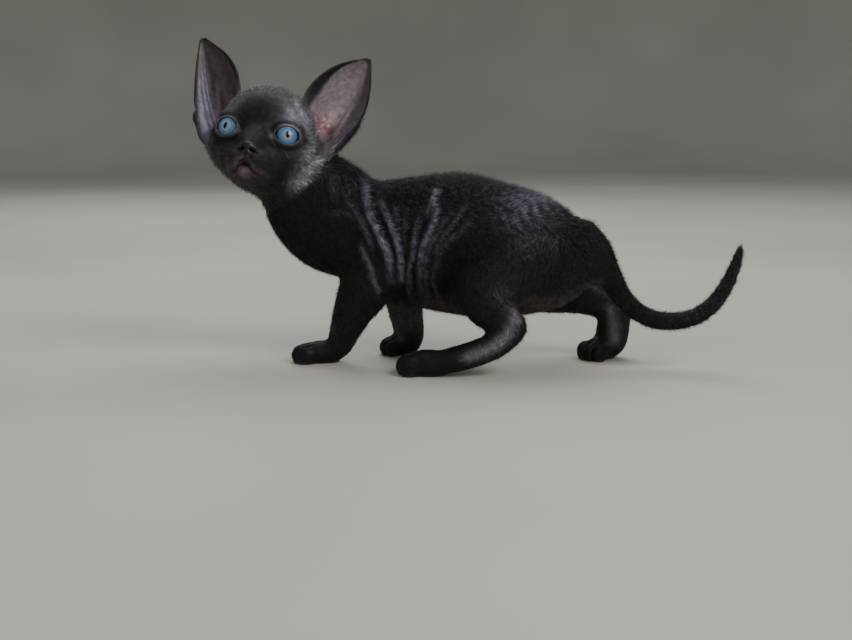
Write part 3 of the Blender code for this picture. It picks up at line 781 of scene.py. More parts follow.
@dataclass
class Skin:
    """The whole cat's skin in one piece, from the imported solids, with its folds and features."""

    flesh: tuple[str, ...] = ("head", "neck", "torso", "tail", *(f"leg_{leg}" for leg in LEG_NAMES))
    voxel: float = 0.55
    closing: float = 0.25
    smoothing: int = 26
    ripple: float = 0.11
    triangles: int = 188000
    levels: int = 4  # of how closely triangles are kept
    shade_under_coat: float = 0.5
    # Rings round each eye: size against the opening, width, rise, and the heights where each sets in
    lid_rings: tuple = (
        (1.14, 0.1, 0.22, -99, -98),
        (1.36, 0.1, -0.35, -5, -1),
        (1.7, 0.13, -0.35, -1, 2),
        (1.5, 0.1, -0.2, 0, -2),
    )
    # On the ear's outer edge: share along, width and rise
    pocket: tuple = ((0.43, 0.055, 1.5), (0.507, 0.026, -1.5))

    def __post_init__(self) -> None:
        """Builds the skin, step by step."""
        surface = Surface(self.joined())
        self.soften(surface)
        surface.store()
        surface = Surface(surface.obj)
        self.sink_and_carve(surface)
        surface.store()
        self.obj = self.lightened(surface)
        self.open_lids()
        self.surface = Surface(self.obj)

    def joined(self) -> bpy.types.Object:
        """The solids of flesh, closed up where they part, with fine ears and filled eyes, as one surface."""
        bm = bmesh.new()
        for name in self.flesh:
            bm.from_mesh(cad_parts[name].data)
        bmesh.ops.remove_doubles(bm, verts=bm.verts, dist=0.00001)
        bm.normal_update()
        for vert in bm.verts:
            vert.co += vert.normal * self.closing * MM
        for eye in EYES:
            shape = eye.to_frame() @ Matrix.Scale(eye.lid_radius + 0.45, 4)
            bmesh.ops.create_uvsphere(bm, u_segments=32, v_segments=24, radius=1, matrix=shape)
        for ear in EAR_PAIR:
            wall = ear.wall()
            bm.from_mesh(wall.data)
            discard(wall)
        obj = new_object("skin", bm, outwards=False)
        remesh = obj.modifiers.new("One surface", "REMESH")
        remesh.mode = "VOXEL"
        remesh.voxel_size = self.voxel * MM
        return settle(obj)

    def soften(self, surface: Surface) -> None:
        """Takes the facets of the solids out, more on the body than on the thin ears."""
        on_ear = np.zeros(len(surface.points))
        for ear in EAR_PAIR:
            here = ear.shares(surface.points)
            on_ear = np.maximum(on_ear, ramp(here.distance, 2.0, 1.0) * ramp(here.along, 0.1, 0.25))
        share = 0.5 * (1 - on_ear) + 0.04 * on_ear
        surface.points = surface.spread(surface.points, self.smoothing, share)

    def sink_and_carve(self, surface: Surface) -> None:
        """Moves the skin in by the coat's depth and gives it folds, face, ears and paws."""
        normals = surface.normals
        body = BodyMap(surface.points, normals, turned=False)
        depth = surface.spread(self.coat_depth(body), 6)
        toes = sum(paw.grooves(body.table) for paw in PAWS)
        carve = self.wrinkles(body, normals) + toes + self.face_lines(body)
        carve += self.ripple * body.wave() * body.weight("trunk", "neck", "tail")
        surface.points += normals * ((carve - depth) * MM)[:, None]
        surface.points = surface.spread(surface.points, 2, 0.35 * ramp(depth, 0.5, 1.0))
        turn = HEAD.muzzle_turn(body.local) * (body.head > 0.5)
        surface.points += HEAD.outward(np.outer(turn, (0, MM, 0)))
        self.lids(surface)
        self.ear_folds(surface, body, normals)
        surface.points[:, 2] = np.maximum(surface.points[:, 2], 0)

    def coat_depth(self, body: BodyMap) -> np.ndarray:
        """How far the skin lies below the tips of the coat, in millimetres."""
        depth = body.head * (0.35 + 0.4 * ramp(body.local[:, 0], 18, 4))
        depth += body.weight("trunk", "neck") * (0.9 + 0.5 * body.facing_up())
        for leg in LEG_NAMES:
            depth += body.weight(leg) * (0.8 - 0.35 * body.down_leg(leg))
        depth += body.weight("tail")
        for ear in body.ears:
            depth *= 1 - 0.9 * ramp(ear.distance, 3.0, 1.6) * (body.head > 0.5)
        sole = ramp(body.table[:, 2], 1.2, 0.4)
        return depth * (1 - sole)

    def wrinkles(self, body: BodyMap, normals: np.ndarray) -> np.ndarray:
        """The loose folds of the shoulder and flank, as a height in millimetres on both sides."""
        height = np.zeros(len(normals))
        outside = ramp(np.abs(normals[:, 1]), 0.1, 0.4) * (1 - body.head)
        outside *= np.where(body.off_middle() * normals[:, 1] > 0, 1, 0)
        for fold in FOLDS:
            distance, share = fold.near(body.table)
            ends = ramp(share, 0, 0.2) * ramp(share, 1, 0.8)
            crest = 1.15 * bell(distance, fold.width) - 0.5 * bell(distance, 2.1 * fold.width)
            height += ends * fold.rise * crest
        return height * outside

    def face_lines(self, body: BodyMap) -> np.ndarray:
        """The nose, mouth, pads of the muzzle and small folds, as a height in millimetres."""
        ahead, sideways, up = body.local.T
        wide = np.abs(sideways)
        place = np.stack([wide, up], axis=1)
        from_mouth, along_mouth, _ = nearest_on(curve_through(FACE.mouth, 5), place)
        height = -1.3 * bell(from_mouth, 0.5) * ramp(along_mouth, 1, 0.7)
        height -= 0.6 * bell(nearest_on(FACE.philtrum, place)[0], 0.42)
        nostril, slit = FACE.nostrils(wide, up)
        height -= 1.8 * nostril + 0.9 * slit
        height += sum(mound.at(wide, up) for mound in FACE.mounds)
        return height * ramp(ahead, 14, 20) * body.head

    def lids(self, surface: Surface) -> None:
        """Lays the skin round each eye on the lids, with a fold above and a hollow at the inner corner."""
        local = HEAD.local(surface.points)
        moved = np.zeros_like(surface.points)
        for eye in EYES:
            ahead, out, up = eye.axes()
            way = local - eye.place()
            far = np.linalg.norm(way, axis=1)
            turn = np.degrees(np.arccos(np.clip(way @ ahead / np.maximum(far, 1e-6), -1, 1)))
            near = ramp(turn, 66, 44) * (far < 14)
            wide, high = way @ out, way @ up
            round_eye = np.hypot(wide / eye.opening[0], high / eye.opening[1])
            target = eye.lid_radius - 0.55 * bell(np.hypot(wide + 7.6, high + 1.0), 1.3)
            for ring, width, rise, start, full in self.lid_rings:
                target += rise * bell(round_eye - ring, width) * ramp(high, start, full)
            moved += (way / np.maximum(far, 1e-6)[:, None]) * (near * (target - far))[:, None]
        surface.points += HEAD.outward(moved) * MM

    def ear_folds(self, surface: Surface, body: BodyMap, normals: np.ndarray) -> None:
        """The upright folds, the knobs at the root and the small pocket of each ear."""
        for ear, on_ear in zip(EAR_PAIR, body.ears):
            across, along, distance = on_ear.across, on_ear.along, on_ear.distance
            height = np.zeros(len(across))
            for line, rise in EAR_FOLDS:
                ends = ramp(along, 0.2, 0.35) * ramp(along, 0.9, 0.7)
                height += rise * bell(on_ear.beside_strip(line), 0.016) * ends
            from_ridge, along_ridge, _ = nearest_on(EAR_RIDGE, on_ear.flat())
            height += 0.9 * bell(from_ridge, 1.5) * ramp(along_ridge, 0, 0.3)
            for u, t, size, rise in EAR_KNOBS:
                height += rise * bell(on_ear.from_spot(u, t), size)
            inside = ramp(distance, 2.0, 1.2) * ramp(on_ear.depth, -0.1, 0.3)
            surface.points += normals * (height * inside * MM)[:, None]
            pocket = sum(rise * bell(along - share, width) for share, width, rise in self.pocket)
            edge = ramp(distance, 2.4, 1.6) * ramp(across, 0.82, 1.0) * (body.head > 0.5)
            surface.points += ear.outwards(on_ear) * (pocket * edge * MM)[:, None]

    def lightened(self, surface: Surface) -> bpy.types.Object:
        """The skin with fewer triangles, which are kept closer on the head and closest on the face."""
        obj = surface.obj
        body = BodyMap(surface.points, surface.normals)
        keep = np.clip(body.head * ramp(body.local[:, 0], -8, 8) + 0.25 * body.head, 0, 1)
        group = obj.vertex_groups.new(name="Light")
        for level in range(self.levels + 1):
            chosen = np.flatnonzero(np.round(keep * self.levels).astype(int) == level)
            group.add(chosen.tolist(), 1 - level / self.levels * 0.96, "REPLACE")
        fewer = obj.modifiers.new("Fewer", "DECIMATE")
        fewer.ratio = min(1, self.triangles / (len(obj.data.polygons) * 2))
        fewer.vertex_group = group.name
        fewer.vertex_group_factor = 1
        settle(obj)
        obj.vertex_groups.clear()
        return obj

    def open_lids(self) -> None:
        """Cuts the sockets and the openings between the lids."""
        for eye in EYES:
            tools = eye.globe("socket", 0.12), eye.cutter()
            for tool in tools:
                cut = self.obj.modifiers.new("Open", "BOOLEAN")
                cut.operation = "DIFFERENCE"
                cut.object = tool
                cut.solver = "MANIFOLD"
                settle(self.obj)
            discard(*tools)
        self.obj.data.shade_smooth()

    def dress(self, material: bpy.types.Material) -> None:
        """Gives the skin its markings, darker under the coat, and its material."""
        layers = MARKINGS.paint(BodyMap(self.surface.points, self.surface.normals))
        colour = layers.colour * (1 - self.shade_under_coat * layers.coat[:, None])
        mesh = self.obj.data
        store_colour(mesh, np.concatenate([colour, np.ones((len(colour), 1))], axis=1))
        gloss = mesh.attributes.new(GLOSS, "FLOAT", "POINT")
        gloss.data.foreach_set("value", layers.rough.astype(np.float32))
        mesh.materials.clear()
        mesh.materials.append(material)


@dataclass(frozen=True)
class Paw:
    """A paw on the floor: its middle, the way its toes point from -X towards -Y, and its size."""

    part: str
    middle: tuple[float, float]
    heading: float
    length: float
    width: float
    height: float

    def local(self, table: np.ndarray) -> np.ndarray:
        """Places in the paw's axes: forward, sideways and up, in millimetres."""
        angle = math.radians(self.heading)
        forward = np.array((-math.cos(angle), -math.sin(angle)))
        sideways = np.array((math.sin(angle), -math.cos(angle)))
        flat = table[:, :2] - np.array(self.middle)
        return np.stack([flat @ forward, flat @ sideways, table[:, 2]], axis=1)

    def grooves(self, table: np.ndarray) -> np.ndarray:
        """How far the skin is drawn in between the toes, as a height below 0."""
        forward, sideways, up = self.local(table).T
        ahead, aside = forward / self.length, sideways / self.width
        on_paw = ramp(ahead, 0.1, 0.24) * ramp(up, self.height + 3, self.height)
        on_paw *= ramp(np.abs(ahead), 0.75, 0.6) * ramp(np.abs(aside), 0.9, 0.7)
        lines = sum(bell(sideways - share * self.width, 0.6) for share in (-0.25, 0, 0.25))
        toes = sum(bell(sideways - share * self.width, 1.5) for share in (-0.37, -0.125, 0.125, 0.37))
        return on_paw * (0.45 * toes - 1.3 * lines)


PAWS = (
    Paw("front_left", (-73, 9), 4, 27, 17.5, 11),
    Paw("front_right", (-33, 29.5), 14, 21, 16.5, 11),
    Paw("hind_left", (-20.5, -22.4), -10, 27, 17.5, 12.6),
    Paw("hind_right", (67, 17.5), 38, 22, 17.5, 11.5),
)


@dataclass
class Layers:
    """What is painted on points of the skin: colour, how rough it is, and how much coat grows there."""

    colour: np.ndarray
    rough: np.ndarray
    coat: np.ndarray

    def tint(self, paint: tuple, amount: np.ndarray) -> None:
        """Covers the colour so far with the paint, where the amount is above 0."""
        share = np.clip(amount, 0, 1)[:, None]
        self.colour = self.colour * (1 - share) + np.array(paint) * share

    def thin(self, amount: np.ndarray) -> None:
        """Takes a share of the coat away."""
        self.coat *= 1 - amount


@dataclass(frozen=True)
class Markings:
    """The colours of skin and coat alike, with painted sheen and shade among them, as linear red, green and
    blue, and where they lie.
    """

    black: tuple = (0.0094, 0.0087, 0.0095)
    velvet: tuple = (0.0038, 0.0035, 0.0038)
    # the smoky grey of the head's hair, and the painted highlights of hocks, wrists and the far front leg
    smoke_and_sheen: tuple = (0.30, 0.30, 0.325)
    # painted sheen: light caught on the folds, the rump's curls and the thigh
    sheen: tuple = (0.17, 0.17, 0.215)
    belly: tuple = (0.06, 0.047, 0.043)
    lid: tuple = (0.06, 0.05, 0.062)
    ear: tuple = (0.25, 0.205, 0.228)
    lavender: tuple = (0.42, 0.34, 0.48)
    pink: tuple = (0.42, 0.2, 0.21)
    # pale pink painted highlight on the knobs in the ears
    gristle_highlight: tuple = (0.62, 0.42, 0.46)
    # painted bluish highlight on the outer folds of the ears
    blue: tuple = (0.25, 0.27, 0.42)
    # deep red painted shade in the ear's deep opening and in the crevices round its knobs
    canal_shade: tuple = (0.09, 0.022, 0.024)
    # the dark brown of painted shade inside the ears
    ear_shade: tuple = (0.06, 0.045, 0.043)
    muzzle: tuple = (0.036, 0.027, 0.03)
    # partly the lips' dark edge, partly painted shade inside the mouth
    mouth: tuple = (0.012, 0.004, 0.004)
    lip: tuple = (0.16, 0.105, 0.11)
    nose: tuple = (0.014, 0.012, 0.013)
    # painted shade inside the nostrils
    nostril: tuple = (0.002, 0.0015, 0.0015)
    pad: tuple = (0.035, 0.02, 0.02)
    bare_pad: tuple = (0.12, 0.07, 0.065)
    canthus: tuple = (0.24, 0.2, 0.22)
    ruff: tuple = ((-68, 3, 104), (-74, -4, 98), (-80, -5, 90))
    wrist_pads: tuple = ((-53.5, 7.5, 12.5), (-23, 29, 9))
    upper_lip: tuple = ((0, -16.6), (3.4, -20), (7.8, -21.6))
    ear_fur: tuple = ((0.3, 0.17), (0.55, 0.15), (0.75, 0.09), (0.9, 0.05))  # share along, fur's width across
    # Spots in the ear: paint, shares across and along, size in millimetres and strength
    ear_spots: tuple = (
        (lavender, 0.25, 0.34, 3.6, 0.8),
        (pink, 0.5, 0.4, 5.0, 0.75),
        # the three dark red spots are painted shade: the ear's deep opening and two small hollows by the knobs
        (canal_shade, 0.7, 0.4, 2.6, 0.9),
        (canal_shade, 0.41, 0.47, 1.0, 0.6),
        (canal_shade, 0.61, 0.54, 1.0, 0.6),
    )

    def paint(self, body: BodyMap) -> Layers:
        """Colours every point.

        Args:
            body: where the points lie on the cat.

        Returns:
            The painted layers.
        """
        count = len(body.table)
        layers = Layers(np.tile(np.array(self.black), (count, 1)), np.full(count, 0.55), np.ones(count))
        self.shine_on_body(layers, body)
        self.smoke_on_head(layers, body)
        self.lips(layers, body)
        self.nose_leather(layers, body)
        for eye in EYES:
            self.round_eye(layers, body, eye)
        for ear, on_ear in zip(EAR_PAIR, body.ears):
            self.inside_ear(layers, body, ear, on_ear)
        self.pads(layers, body)
        return layers

    def shine_on_body(self, layers: Layers, body: BodyMap) -> None:
        """Painted sheen on folds, rump, thigh and hocks, painted light on the far front leg, and the thin coat
        of the belly.
        """
        x, _, z = body.table.T
        off_head = 1 - body.head
        flank = ramp(np.abs(body.normals[:, 1]), 0.1, 0.45) * off_head
        # a painted highlight along the crest of each fold
        for fold in FOLDS:
            distance, share = fold.near(body.table)
            shine = np.interp(share, np.linspace(0, 1, len(fold.sheen)), fold.sheen)
            layers.tint(self.sheen, shine * bell(distance, 0.8 * fold.width) * flank)
        # painted sheen on the crests of the ripples over the rump and the thigh
        curls = ramp(body.wave(), -1.2, 0.9)
        rump = bell(np.hypot((x - 26.5) / 1.45, z - 76.5), 10)
        layers.tint(self.sheen, 0.6 * curls * rump * off_head)
        thigh = bell(np.linalg.norm(body.table - np.array((18, -30, 42)), axis=1), 9)
        layers.tint(self.sheen, 0.16 * curls * thigh)
        # painted highlights on the hocks and wrists, in the smoky grey
        for line, width, amount in SHEEN_LINES:
            layers.tint(self.smoke_and_sheen, amount * bell(nearest_on(line, body.table)[0], width))
        # painted light on the far front leg, which lies in the body's shadow
        layers.tint(self.smoke_and_sheen, 0.15 * body.weight("front_right") * ramp(z, 52, 36) * ramp(z, 8, 16))
        below = ramp(body.normals[:, 2], -0.45, -0.8) * body.weight("trunk")
        layers.tint(self.belly, 0.8 * below * ramp(x, -32, -20))
        layers.thin(0.45 * below)

    def smoke_on_head(self, layers: Layers, body: BodyMap) -> None:
        """The smoky hair of brow, cheek, crown and ruff, with painted shade on the cat's right side, and the
        darker muzzle.
        """
        ahead, sideways, up = body.local.T
        wide = np.abs(sideways)
        brow = bell(np.hypot((wide - 17) / 1.15, (up - 11.5) / 1.45), 6.5) * ramp(ahead, -14, -4)
        cheek = bell(np.hypot(wide - 24, (up + 6) / 2.2), 5.5) * ramp(ahead, 17, 10)
        crown = ramp(up, 17, 23) * bell(wide, 13) * ramp(ahead, -8, 4)
        # the smoky brow and cheek are weaker on the cat's right: painted shade on the side turned from the
        # light
        smoky = (0.95 * brow + 0.75 * cheek) * (0.3 + 0.55 * ramp(sideways, -8, 6))
        smoky += 0.1 * crown + 0.035 * ramp(ahead, -10, 5)
        layers.tint(self.smoke_and_sheen, smoky * body.head)
        from_ruff = nearest_on(self.ruff, body.table)[0]
        layers.tint(self.smoke_and_sheen, 0.85 * bell(from_ruff, 5.5) * ramp(body.head, 0.15, 0.5))
        muzzle = ramp(ahead, 15, 20) * ramp(wide, 14, 9) * body.head
        layers.tint(self.velvet, 0.8 * muzzle * ramp(up, -12, -5))
        layers.tint(self.muzzle, 0.8 * muzzle * ramp(up, -9, -12))

    def lips(self, layers: Layers, body: BodyMap) -> None:
        """The lips, and the dark line and gap between them."""
        ahead, sideways, up = body.local.T
        wide = np.abs(sideways)
        from_mouth = nearest_on(curve_through(FACE.mouth, 5), np.stack([wide, up], axis=1))[0]
        front = ramp(ahead, 16, 20) * body.head
        lower = FACE.lower_lip.at(wide, up) * front
        upper = bell(from_mouth - 1.6, 1.2) * ramp(up, -21.5, -19.5) * ramp(up, -12.5, -14) * front
        layers.tint(self.lip, 0.95 * lower)
        layers.tint(self.lip, 0.6 * upper * (up > np.interp(wide, *zip(*self.upper_lip))))
        gap = FACE.mouth_gap.at(wide, up) * front
        # the mouth's line and gap: partly the lips' dark edge, partly painted shade inside the mouth
        layers.tint(self.mouth, bell(from_mouth, 0.5) * front + gap)
        layers.thin(np.clip(bell(from_mouth, 0.8) + 0.4 * lower + gap, 0, 1) * front)

    def nose_leather(self, layers: Layers, body: BodyMap) -> None:
        """The bare nose and its nostrils."""
        ahead, sideways, up = body.local.T
        wide = np.abs(sideways)
        half = np.interp(up, *zip(*FACE.leather_width))
        leather = ramp(wide - half, 0.35, -0.25) * ramp(up, -14.8, -14.3) * ramp(up, -8.3, -8.8)
        leather *= ramp(ahead, 23, 25) * body.head
        layers.tint(self.nose, leather)
        nostril, slit = FACE.nostrils(wide, up)
        # painted shade in the nostrils and the slits that run out of them
        layers.tint(self.nostril, (nostril + 0.7 * slit) * leather)
        layers.rough -= leather * 0.22
        layers.thin(leather)

    def round_eye(self, layers: Layers, body: BodyMap, eye: Eye) -> None:
        """The dark hair round an eye, its pale lids and the pale inner corner."""
        forward, out, above = eye.axes()
        way = body.local - eye.place()
        across, high = way @ out, way @ above
        ring = np.hypot(across / eye.opening[0], high / eye.opening[1])
        on_lid = (way @ forward > 0) * (np.linalg.norm(way, axis=1) < 13)
        layers.tint(self.velvet, 0.9 * bell(ring - 1.5, 0.22) * on_lid)
        margin = 1.2 + 0.1 * ramp(high, 1, -3)
        pale = 0.4 + 0.5 * ramp(high, 2, -2)
        layers.tint(self.lid, pale * ramp(ring, margin, margin - 0.12) * on_lid)
        layers.tint(self.canthus, 0.8 * bell(np.hypot(across + 7.3, high + 0.9), 1.2) * on_lid)
        layers.thin(ramp(ring, 1.24, 1.12) * on_lid)
        layers.rough -= 0.15 * ramp(ring, 1.3, 1.2) * on_lid

    def inside_ear(self, layers: Layers, body: BodyMap, ear: Ear, on_ear: OnEar) -> None:
        """The bare hollow of an ear with its spots, and painted light from one side: shade in its hollows and
        between its folds, highlights on its knobs and folds.
        """
        across, along = on_ear.across, on_ear.along
        lit = ear.side is Side.LEFT
        inside = ramp(on_ear.distance, 9.0, 7.0) * ramp(on_ear.depth, 0.0, 0.35) * body.head
        furred = np.interp(along, *zip(*self.ear_fur))
        bare = ramp(across, 0.6 * furred, 1.1 * furred) * ramp(across, 1, 0.95)
        bare *= ramp(along, 1, 0.94) * inside
        layers.tint(self.ear, bare)
        # painted shade where the hollow is turned from the light: the outer part of the left ear, the front of
        # the right
        shade = 0.85 * ramp(across, 0.6, 0.88) if lit else 0.25 + 0.6 * ramp(across, 0.84, 0.74)
        layers.tint(self.ear_shade, bare * shade)
        # painted shade on the outer side of the ridge, its crest kept at the ear's own colour
        from_ridge = nearest_on(EAR_RIDGE, on_ear.flat())[0]
        layers.tint(self.ear_shade, 0.45 * bare * bell(from_ridge - 2.4, 1.3) * ramp(across, 0.7, 0.78))
        layers.tint(self.ear, 0.5 * bare * bell(from_ridge, 1.2))
        for paint, u, t, size, amount in self.ear_spots:
            layers.tint(paint, amount * bare * bell(on_ear.from_spot(u, t), size))
        for u, t, size, _ in EAR_KNOBS:
            far = on_ear.from_spot(u, t)
            # painted shade in the crevice round each knob
            layers.tint(self.canal_shade, 0.5 * bare * bell(far - 1.35 * size, 0.35 * size))
            # a painted highlight on the top of each knob
            layers.tint(self.gristle_highlight, 0.6 * bare * bell(far, 0.75 * size))
        # painted bluish highlight on the outer folds, stronger on the right ear
        folded = bell((across - 0.89) / 1.4, 0.05) * ramp(along, 0.12, 0.3) * ramp(along, 0.85, 0.6)
        layers.tint(self.blue, (0.2 if lit else 0.55) * bare * folded)
        # strips of painted shade between the folds
        for line in EAR_STRIPS:
            layers.tint(self.ear_shade, 0.7 * bare * bell(on_ear.beside_strip(line), 0.012) * folded)
        # painted shade low in the hollow by its root, where more coat is kept
        root = ramp(along, 0.34, 0.2) * ramp(across, 0.45, 0.65)
        layers.tint(self.ear_shade, 0.6 * bare * root)
        layers.thin(0.93 * bare * (1 - 0.6 * root))
        layers.rough -= 0.08 * inside

    def pads(self, layers: Layers, body: BodyMap) -> None:
        """The soles, and the small bare pads behind the wrists."""
        sole = ramp(body.table[:, 2], 1.0, 0.5)
        layers.tint(self.pad, sole)
        layers.thin(sole)
        for spot in self.wrist_pads:
            near = bell(np.linalg.norm(body.table - np.array(spot), axis=1), 2.6)
            layers.tint(self.bare_pad, 0.9 * near)
            layers.thin(0.8 * near)


MARKINGS = Markings()


@dataclass(frozen=True)
class CoatPiece:
    """One piece of the coat: how many tufts it has, its seed, and the nodes it stands for."""

    name: str
    count: int
    seed: int
    nodes: tuple[str, ...]


COAT_PIECES = (
    CoatPiece("coat_face", 47000, 11, ("head",)),
    CoatPiece("coat_crown", 44000, 12, ("head", "ear_left", "ear_right")),
    CoatPiece("coat_neck", 40000, 13, ("neck",)),
    CoatPiece("coat_back", 42000, 14, ("torso",)),
    CoatPiece("coat_flank_left", 49000, 15, ("torso",)),
    CoatPiece("coat_flank_right", 49000, 16, ("torso",)),
    CoatPiece("coat_front_legs", 36000, 17, ("leg_front_left", "leg_front_right")),
    CoatPiece("coat_hind_legs", 46000, 18, ("leg_hind_left", "leg_hind_right")),
    CoatPiece("coat_tail", 22000, 19, ("tail",)),
)


@dataclass
class Roots:
    """Where tufts start and how each grows, one row a tuft; length in millimetres, lift in degrees."""

    places: np.ndarray
    normals: np.ndarray
    lie: np.ndarray
    length: np.ndarray
    lift: np.ndarray
    colour: np.ndarray


@dataclass
class Coat:
    """The short rippled coat: small pointed tufts, closed and three-sided, that lie along the skin."""

    skin: Skin
    material: bpy.types.Material
    densest: float = 32  # tufts of one millimetre on each square millimetre, at most
    lock: float = 1.3  # width in millimetres of the locks that hair gathers in
    lock_kinds: int = 997
    ripple: float = 20  # degrees that hair sways along the ripples
    lock_turn: float = 16  # degrees that whole locks are turned at most
    guard_share: float = 0.15
    guard_lift: float = 20  # degrees that the longer guard hairs stand up more
    sunk: float = 0.07  # share of a tuft that is in the skin
    tuft: tuple = ((0, 1, 3), (1, 2, 3), (2, 0, 3), (0, 2, 1))  # by corners: left, right, top and tip
    tuft_shade: tuple = (0.65, 0.65, 0.65, 1.3)  # how light the hair is at its root and its tip
    tuft_patch: tuple = ((-0.0015, -0.0015), (0.0015, -0.0015), (0, -0.0009), (0, 0.0015))
    face_length: tuple = ((-5, 2.3), (10, 2.1), (17, 1.3), (24, 0.8))  # place ahead and length of hair

    def __post_init__(self) -> None:
        """Reads the fields of the coat off the skin."""
        surface = self.skin.surface
        self.points = surface.points
        self.triangles = surface.triangles()
        self.normals = surface.normals
        self.body = BodyMap(self.points, self.normals)
        layers = MARKINGS.paint(self.body)
        self.colour, self.cover = layers.colour, layers.coat
        self.lie = self.body.flattened(surface.spread(self.body.lie(), 8))
        self.shape_fields()
        a, b, c = (self.points[self.triangles[:, i]] for i in range(3))
        self.area = np.linalg.norm(np.cross(b - a, c - a), axis=1) / 2
        self.groups = self.sorted_triangles()

    def shape_fields(self) -> None:
        """Length and lift of the hair at each point of the skin."""
        body = self.body
        above = body.facing_up()
        length = body.head * np.interp(body.local[:, 0], *zip(*self.face_length))
        length += body.weight("trunk", "neck") * (2.0 + 0.9 * above)
        length += body.weight("tail") * 2.1
        for leg in LEG_NAMES:
            length += body.weight(leg) * (2.0 - 0.9 * body.down_leg(leg))
        for side, ear in zip(Side, body.ears):
            on_ear = ramp(ear.distance, 3.0, 1.6) * (body.head > 0.5) * ramp(ear.along, 0.05, 0.25)
            length *= 1 - 0.45 * on_ear
            axis = HEAD.outward(side.of((-1, 26, 50)))
            blend = on_ear[:, None] * 0.8
            self.lie = body.flattened(self.lie * (1 - blend) + unit_rows(axis) * blend)
        self.length = length
        self.lift = 13 + 7 * above * body.weight("trunk", "neck") + 6 * body.weight("tail")

    def sorted_triangles(self) -> dict[str, np.ndarray]:
        """Which triangles of the skin belong to each piece of the coat."""
        centre = self.points[self.triangles].mean(axis=1)
        across = unit_rows(self.normals[self.triangles].mean(axis=1))
        body = BodyMap(centre, across)
        on_head = body.head > 0.5
        part = np.where(on_head, -1, body.part)
        number = {name: i for i, name in enumerate(body.parts)}
        trunk = part == number["trunk"]
        upper = trunk & (across[:, 2] > 0.62)
        left = body.off_middle() < 0
        face = on_head & (body.local[:, 0] > 4)
        return {
            "coat_face": face,
            "coat_crown": on_head & ~face,
            "coat_neck": part == number["neck"],
            "coat_back": upper,
            "coat_flank_left": trunk & ~upper & left,
            "coat_flank_right": trunk & ~upper & ~left,
            "coat_front_legs": (part == number["front_left"]) | (part == number["front_right"]),
            "coat_hind_legs": (part == number["hind_left"]) | (part == number["hind_right"]),
            "coat_tail": part == number["tail"],
        }

    def grow(self, piece: CoatPiece) -> bpy.types.Object:
        """Builds one piece of the coat.

        Args:
            piece: what to build.

        Returns:
            The piece's object.
        """
        rng = np.random.default_rng(piece.seed)
        cover = self.cover[self.triangles].mean(axis=1)
        fine = self.length[self.triangles].mean(axis=1)
        weight = self.area * cover * self.groups[piece.name] / np.maximum(fine, 0.6)
        running = np.cumsum(weight)
        count = min(piece.count, int(running[-1] / MM**2 * self.densest))
        marks = (np.arange(count) + rng.random(count)) / count * running[-1]
        chosen = self.triangles[np.minimum(np.searchsorted(running, marks), len(self.triangles) - 1)]
        share = np.sqrt(rng.random((count, 1)))
        second = rng.random((count, 1))
        mix = np.concatenate([1 - share, share * (1 - second), share * second], axis=1)

        def taken(field: np.ndarray) -> np.ndarray:
            """A field of the skin at the tufts' roots."""
            return np.einsum("ij,ij...->i...", mix, field[chosen])

        normals = unit_rows(taken(self.normals))
        lie = taken(self.lie)
        lie = unit_rows(lie - normals * (lie * normals).sum(axis=1, keepdims=True))
        fields = (taken(field) for field in (self.length, self.lift, self.colour))
        return self.tufts(piece, rng, Roots(taken(self.points), normals, lie, *fields))

    def tufts(self, piece: CoatPiece, rng: np.random.Generator, roots: Roots) -> bpy.types.Object:
        """Joins the tufts in one mesh.

        Args:
            piece: what is built.
            rng: the piece's own random draws.
            roots: where its tufts start.

        Returns:
            The piece's object.
        """
        count = len(roots.places)
        body = BodyMap(roots.places, roots.normals)
        wave, normals = body.wave(), roots.normals
        cell = np.floor(roots.places / (self.lock * MM) + rng.normal(0, 0.15, (count, 3))).astype(int)
        kind = (cell @ (73, 179, 283)) % self.lock_kinds
        turned, raised, lit = rng.uniform(-1, 1, (3, self.lock_kinds))[:, kind]
        ripple = np.radians(self.ripple * wave + rng.normal(0, 11, count) + self.lock_turn * turned)
        side = np.cross(normals, roots.lie)
        way = roots.lie * np.cos(ripple)[:, None] + side * np.sin(ripple)[:, None]
        side = np.cross(normals, way)
        guard = (rng.random(count) < self.guard_share) * ramp(roots.length, 1.3, 1.9)
        size = roots.length * (rng.uniform(0.7, 1.2, count) + 0.55 * guard) * MM
        thick = (0.11 + 0.04 * roots.length) * rng.uniform(0.8, 1.2, count) * (1 + 0.7 * guard) * MM
        lift = roots.lift + rng.normal(0, 6, count) + 5 * (wave + raised) + self.guard_lift * guard
        rise = np.radians(lift)
        base = roots.places - normals * (size * self.sunk)[:, None]
        tip = base + way * (size * np.cos(rise))[:, None] + normals * (size * np.sin(rise))[:, None]
        across, over = side * (thick / 2)[:, None], normals * (thick * 0.4)[:, None]
        verts = np.stack([base - across, base + across, base + over, tip], axis=1)
        verts[:, :, 2] = np.maximum(verts[:, :, 2], LOWEST_HAIR * MM)
        faces = (np.array(self.tuft)[None] + (np.arange(count) * 4)[:, None, None]).reshape(-1, 3)
        mesh = triangle_mesh(piece.name, verts.reshape(-1, 3), faces)
        bright = ramp(roots.colour.mean(axis=1), 0.01, 0.06)
